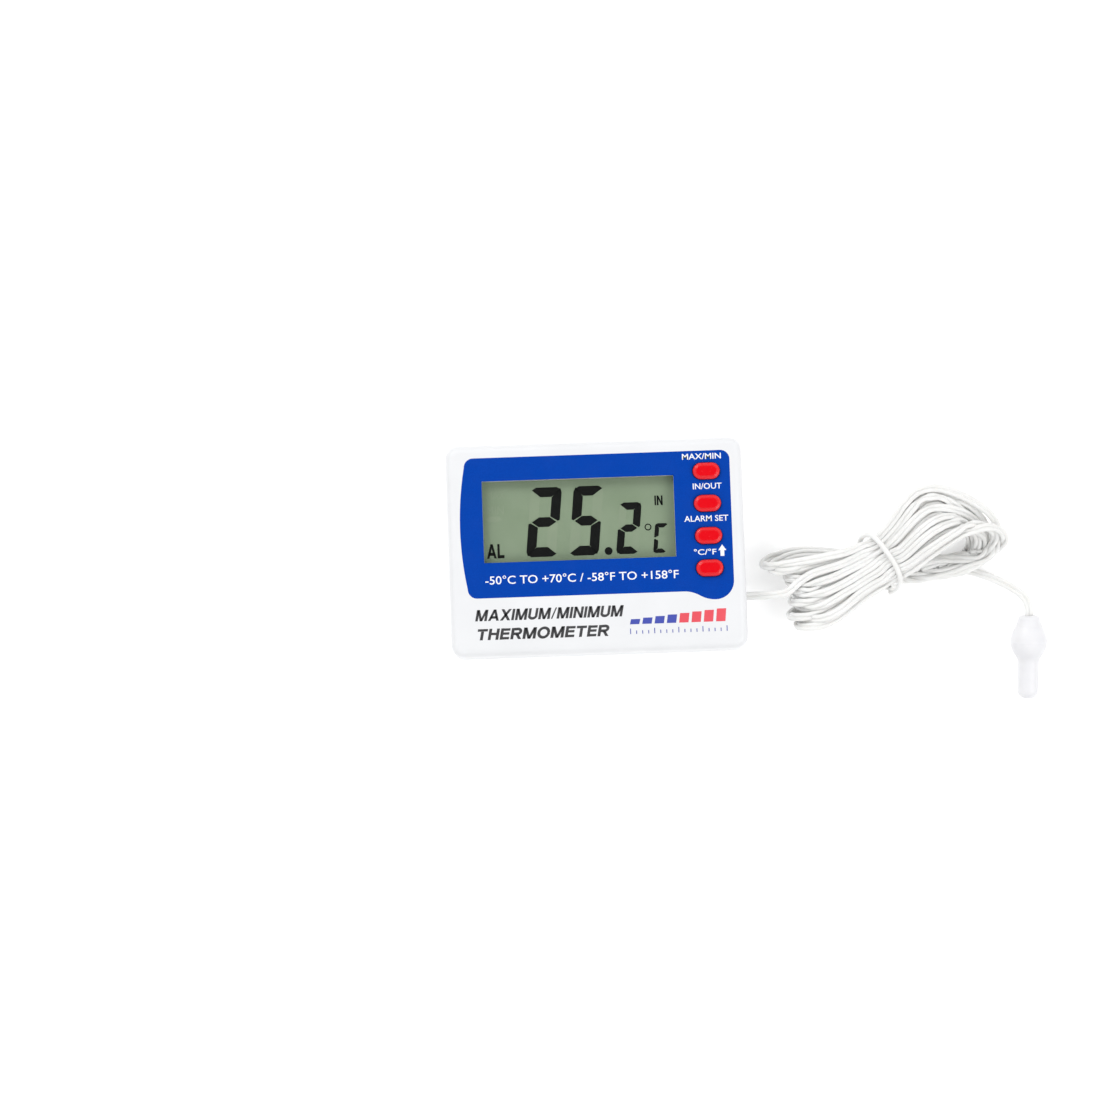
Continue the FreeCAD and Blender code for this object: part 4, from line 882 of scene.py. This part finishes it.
def figure_bars(figure, left, bottom, width, size):
    """The outlines of a figure's bars, in mm. Each bar has cut-off corners and a gap to the next one."""
    height, bar, gap = size
    corner = bar * 0.45
    half = height / 2.0
    shapes = {
        "top": [(gap + corner, height), (width - gap - corner, height), (width - gap, height - corner * 0.6),
                (width - bar - gap * 0.4, height - bar), (bar + gap * 0.4, height - bar),
                (gap, height - corner * 0.6)],
        "upper_left": [(0.0, height - gap - corner), (corner * 0.4, height - gap),
                       (bar, height - bar - gap * 0.6), (bar, half + bar / 2.0 + gap * 0.6),
                       (bar * 0.2, half + gap), (0.0, half + gap * 2.0)],
        "middle": [(bar * 0.25 + gap, half), (bar + gap * 0.6, half + bar / 2.0),
                   (width - bar - gap * 0.6, half + bar / 2.0), (width - bar * 0.25 - gap, half),
                   (width - bar - gap * 0.6, half - bar / 2.0), (bar + gap * 0.6, half - bar / 2.0)],
    }
    flip_x = [(width - x, y) for x, y in reversed(shapes["upper_left"])]
    shapes["upper_right"] = flip_x
    shapes["lower_left"] = [(x, height - y) for x, y in reversed(shapes["upper_left"])]
    shapes["lower_right"] = [(x, height - y) for x, y in reversed(flip_x)]
    shapes["bottom"] = [(x, height - y) for x, y in reversed(shapes["top"])]
    return [[(left + x + y * BAR_SLANT, bottom + y) for x, y in shapes[name]]
            for name in BARS[figure].split()]


# A figure's height, the width of its bars and the gap between two bars, in mm.
LARGE = (16.45, 2.3, 0.20)
MEDIUM = (12.2, 1.75, 0.17)
SMALL = (7.0, 1.0, 0.14)
MINUS = (9.0, 1.3, 0.18)
# What the display shows, in mm: each figure with its left, its bottom, its width and its size.
FIGURES_BOTTOM = -1.8
FIGURES = [
    ("2", -16.7, FIGURES_BOTTOM, 7.35, LARGE),
    ("5", -6.55, FIGURES_BOTTOM, 7.0, LARGE),
    ("2", 4.6, FIGURES_BOTTOM, 5.2, MEDIUM),
    ("C", 13.35, FIGURES_BOTTOM, 3.1, SMALL),
]
FAINT_FIGURES = [
    ("8", -16.7, FIGURES_BOTTOM, 7.0, LARGE),
    ("8", -6.55, FIGURES_BOTTOM, 7.0, LARGE),
    ("8", 4.6, FIGURES_BOTTOM, 5.2, MEDIUM),
    ("-", -27.0, 3.0, 5.0, MINUS),
]
DECIMAL_POINT = (2.85, -0.95, 0.93)  # its middle and its radius
DEGREE_RING = (12.35, 4.4, 0.82, 0.26)  # its middle, its outer radius and its width
# Signs in heavy capitals: left, bottom, height and how wide they are for their height.
SIGNS = [
    ("display_alarm_sign", "AL", -25.9, FIGURES_BOTTOM, 3.4, 0.66),
    ("display_inside_sign", "IN", 14.1, 9.5, 2.3, 0.7),
]
# Signs that are off: left, right, bottom and top.
FAINT_SIGNS = [
    ("display_max_sign", "MAX", -25.6, -21.2, 12.2, 14.2),
    ("display_min_sign", "MIN", -25.6, -21.6, 8.6, 10.6),
]


def build_display_figures(materials):
    """The dark figures under the window, and the faint ones that are off."""
    faint_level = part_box("display_glass")[1].z
    dark_level = faint_level + PRINT_HEIGHT
    faint_ink = materials["segment_faint"]
    dark_ink = materials["segment_dark"]
    dark = []
    for figure in FIGURES:
        dark += figure_bars(*figure)
    dark.append(circle(*DECIMAL_POINT))
    dark += ring_quads(*DEGREE_RING)
    faint = []
    for figure in FAINT_FIGURES:
        faint += figure_bars(*figure)
    pieces = [
        flat_shapes("display_off_bars", faint, faint_level, faint_ink),
        flat_shapes("display_figures", dark, dark_level, dark_ink),
    ]
    for name, text, left, bottom, height, width_share in SIGNS:
        pieces.append(heavy_words(name, text, left, bottom, height, 0.0, dark_level, dark_ink, width_share))
    for name, text, left, right, bottom, top in FAINT_SIGNS:
        pieces.append(words(name, text, left, right, bottom, top, faint_level, faint_ink))


# The label's legends: left, right, bottom and top in mm, and how much heavier than plain their strokes are.
LEGENDS = [
    ("legend_max_min", "MAX/MIN", 20.9, 30.1, 19.85, 21.25, 0.012),
    ("legend_in_out", "IN/OUT", 23.2, 30.0, 12.75, 14.15, 0.012),
    ("legend_alarm_set", "ALARM SET", 20.9, 31.3, 5.1, 6.5, 0.012),
    ("legend_units", "\u00b0C/\u00b0F", 22.9, 28.2, -2.8, -1.4, 0.012),
    ("range_cold", "-50\u00b0C TO +70\u00b0C / -58\u00b0F TO +158\u00b0F", -26.5, 19.1, -8.1, -6.05, 0.006),
]
# The title's lines: left and bottom in mm, and how wide they are for their height.
TITLE = [
    ("title_first", "MAXIMUM/MINIMUM", -29.2, -16.65, 0.965),
    ("title_second", "THERMOMETER", -29.1, -21.15, 1.09),
]
TITLE_HEIGHT = 2.65
TITLE_SLANT = 0.20  # across for each mm up
# The arrow beside the lowest legend, in mm.
ARROW_X = 29.6
ARROW_BOTTOM = -3.2
ARROW_HEIGHT = 2.7
ARROW_HALF_SHAFT = 0.45
ARROW_HALF_HEAD = 0.95
# The plain cold to hot scale on the face's lower right, in mm: leaning tiles that grow, over a row of ticks.
SCALE_LEFT = 7.2
SCALE_BOTTOM = -18.6
SCALE_STEPS = 8
SCALE_PITCH = 2.9
TILE_WIDTH = 2.2
TILE_LEAN = 0.3
TILE_HEIGHT = 1.2  # of the first, and how much higher each next one is
TILE_GROWTH = 0.26
TICK_BOTTOM = -20.9
TICK_PITCH = 1.421
TICK_WIDTH = 0.2
TICK_HEIGHT = 0.8
LONG_TICK_HEIGHT = 1.3
LONG_TICK_EVERY = 4


def print_arrow(level, material):
    """The arrow that points up, on the label."""
    shaft = ARROW_HEIGHT / 2.0
    right_side = [(ARROW_HALF_SHAFT, 0.0), (ARROW_HALF_SHAFT, shaft), (ARROW_HALF_HEAD, shaft)]
    left_side = [(-x, y) for x, y in reversed(right_side)]
    outline = [(ARROW_X + x, ARROW_BOTTOM + y) for x, y in [*right_side, (0.0, ARROW_HEIGHT), *left_side]]
    flat_shapes("legend_up_arrow", [outline], level, material)


def print_scale(level, materials):
    """The scale from cold to hot and its ticks, on the case."""
    tiles = []
    for step in range(SCALE_STEPS):
        left = SCALE_LEFT + step * SCALE_PITCH
        right = left + TILE_WIDTH
        top = SCALE_BOTTOM + TILE_HEIGHT + TILE_GROWTH * step
        tiles.append([(left, SCALE_BOTTOM), (right, SCALE_BOTTOM), (right + TILE_LEAN, top),
                      (left + TILE_LEAN, top)])
    ticks = []
    for step in range(2 * SCALE_STEPS + 1):
        left = SCALE_LEFT + step * TICK_PITCH
        right = left + TICK_WIDTH
        top = TICK_BOTTOM + (TICK_HEIGHT if step % LONG_TICK_EVERY else LONG_TICK_HEIGHT)
        ticks.append([(left, TICK_BOTTOM), (right, TICK_BOTTOM), (right, top), (left, top)])
    half = SCALE_STEPS // 2
    rows = [
        ("scale_cold", tiles[:half], "ink_blue"),
        ("scale_hot", tiles[half:], "ink_red"),
        ("scale_ticks", ticks, "ink_blue"),
    ]
    for name, shapes, ink in rows:
        flat_shapes(name, shapes, level, materials[ink])


def build_printing(materials):
    """The legends on the label, the title on the case, and a plain scale from cold to hot."""
    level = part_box("label_overlay")[1].z
    for name, text, left, right, bottom, top, weight in LEGENDS:
        piece = words(name, text, left, right, bottom, top, level, materials["ink_white"], weight)
    for name, text, left, bottom, width_share in TITLE:
        piece = heavy_words(name, text, left, bottom, TITLE_HEIGHT, TITLE_SLANT, level,
                            materials["ink_grey"], width_share)
    print_arrow(level, materials["ink_white"])
    print_scale(level, materials)


# -------------------- floor, lights and camera

ROOM_LIGHT = 1.05
HORIZON_TOP = 0.45  # the height, as a sine, up to which the room's walls are darker
HORIZON_SHARE = 0.25
CEILING_LIGHT = 0.10
CEILING_EDGE = 0.86  # the cosine of the angle from straight up at which the room starts to darken
CEILING_MIDDLE = 0.96
FLOOR_REACH = 3.0
FLOOR_GAP = 0.2 * MM  # between the floor and the object
LIT_POINT = (0.02, 0.0, 0.01)
# The two soft lights: place, size and power.
LIGHTS = [
    ("key_light", (-0.55, 0.75, 0.9), 0.6, 5.0),
    ("fill_light", (0.8, -0.5, 0.9), 0.8, 4.5),
]


def build_stage(materials):
    corners = [(-1, -1), (1, -1), (1, 1), (-1, 1)]
    points = [(x * FLOOR_REACH, y * FLOOR_REACH, 0.0) for x, y in corners]
    floor = new_piece("floor", points, [(0, 1, 2, 3)], materials["floor_white"], smooth=False)
    floor.location.z = -FLOOR_GAP


def soft_light(name, place, size, power):
    light = bpy.data.lights.new(name, "AREA")
    light.shape = "DISK"
    light.size = size
    light.energy = power
    holder = bpy.data.objects.new(name, light)
    holder.location = place
    holder.rotation_euler = (Vector(place) - Vector(LIT_POINT)).to_track_quat("Z", "Y").to_euler()
    bpy.context.scene.collection.objects.link(holder)


def light_scene():
    """A pale room that is darker straight overhead, where the camera hangs, and two soft lights."""
    world = bpy.data.worlds.new("soft_room")
    world.use_nodes = True
    tree = world.node_tree
    direction = tree.nodes.new("ShaderNodeTexCoord").outputs["Generated"]
    split = tree.nodes.new("ShaderNodeSeparateXYZ")
    tree.links.new(direction, split.inputs["Vector"])
    up = split.outputs["Z"]
    both = tree.nodes.new("ShaderNodeMath")
    both.operation = "MULTIPLY"
    overhead = ranged(tree, up, CEILING_EDGE, CEILING_MIDDLE, ROOM_LIGHT, CEILING_LIGHT)
    tree.links.new(overhead, both.inputs[0])
    tree.links.new(ranged(tree, up, 0.0, HORIZON_TOP, HORIZON_SHARE, 1.0), both.inputs[1])
    background = tree.nodes["Background"]
    tree.links.new(both.outputs["Value"], background.inputs["Strength"])
    background.inputs["Color"].default_value = (1.0, 1.0, 1.0, 1.0)
    bpy.context.scene.world = world
    bpy.context.scene.view_settings.view_transform = "Standard"
    for light in LIGHTS:
        soft_light(*light)


def place_camera(face_level):
    """Above the face, turned and tilted a little, as the photograph was taken."""
    camera = bpy.data.cameras.new("camera")
    camera.sensor_width = SENSOR_WIDTH
    camera.lens = SENSOR_WIDTH * VIEW_DISTANCE / VIEW_WIDTH
    camera.clip_start = NEAR_CLIP
    holder = bpy.data.objects.new("camera", camera)
    target = Vector((*VIEW_CENTRE, face_level))
    away = Vector((0.0, -math.sin(VIEW_TILT), math.cos(VIEW_TILT)))
    holder.location = target + away * VIEW_DISTANCE
    turned = away.to_track_quat("Z", "Y") @ Quaternion((0.0, 0.0, 1.0), -VIEW_ROLL)
    holder.rotation_euler = turned.to_euler()
    bpy.context.scene.collection.objects.link(holder)
    bpy.context.scene.camera = holder


# -------------------- the scene

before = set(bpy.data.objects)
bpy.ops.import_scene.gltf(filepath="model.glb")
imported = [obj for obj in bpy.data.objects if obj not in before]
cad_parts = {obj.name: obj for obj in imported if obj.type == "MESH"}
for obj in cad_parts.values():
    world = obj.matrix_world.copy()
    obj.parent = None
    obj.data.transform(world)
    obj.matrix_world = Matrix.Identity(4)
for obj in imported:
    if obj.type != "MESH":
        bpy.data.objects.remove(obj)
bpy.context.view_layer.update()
materials = make_materials()
finish_cad_pieces(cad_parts, materials)

face_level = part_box("front_shell")[1].z
place_camera(face_level)
light_scene()
build_stage(materials)

for key in KEYS:
    build_key(key, materials["red_key"])
build_printing(materials)
build_display_figures(materials)

lead, lead_path = build_lead(materials["white_lead"])
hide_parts("cord_lead_in", "cord_hank", "cord_tail")
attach(lead, "case")
tie = build_tie(materials["white_lead"])
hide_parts("hank_tie")
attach(tie, "case")
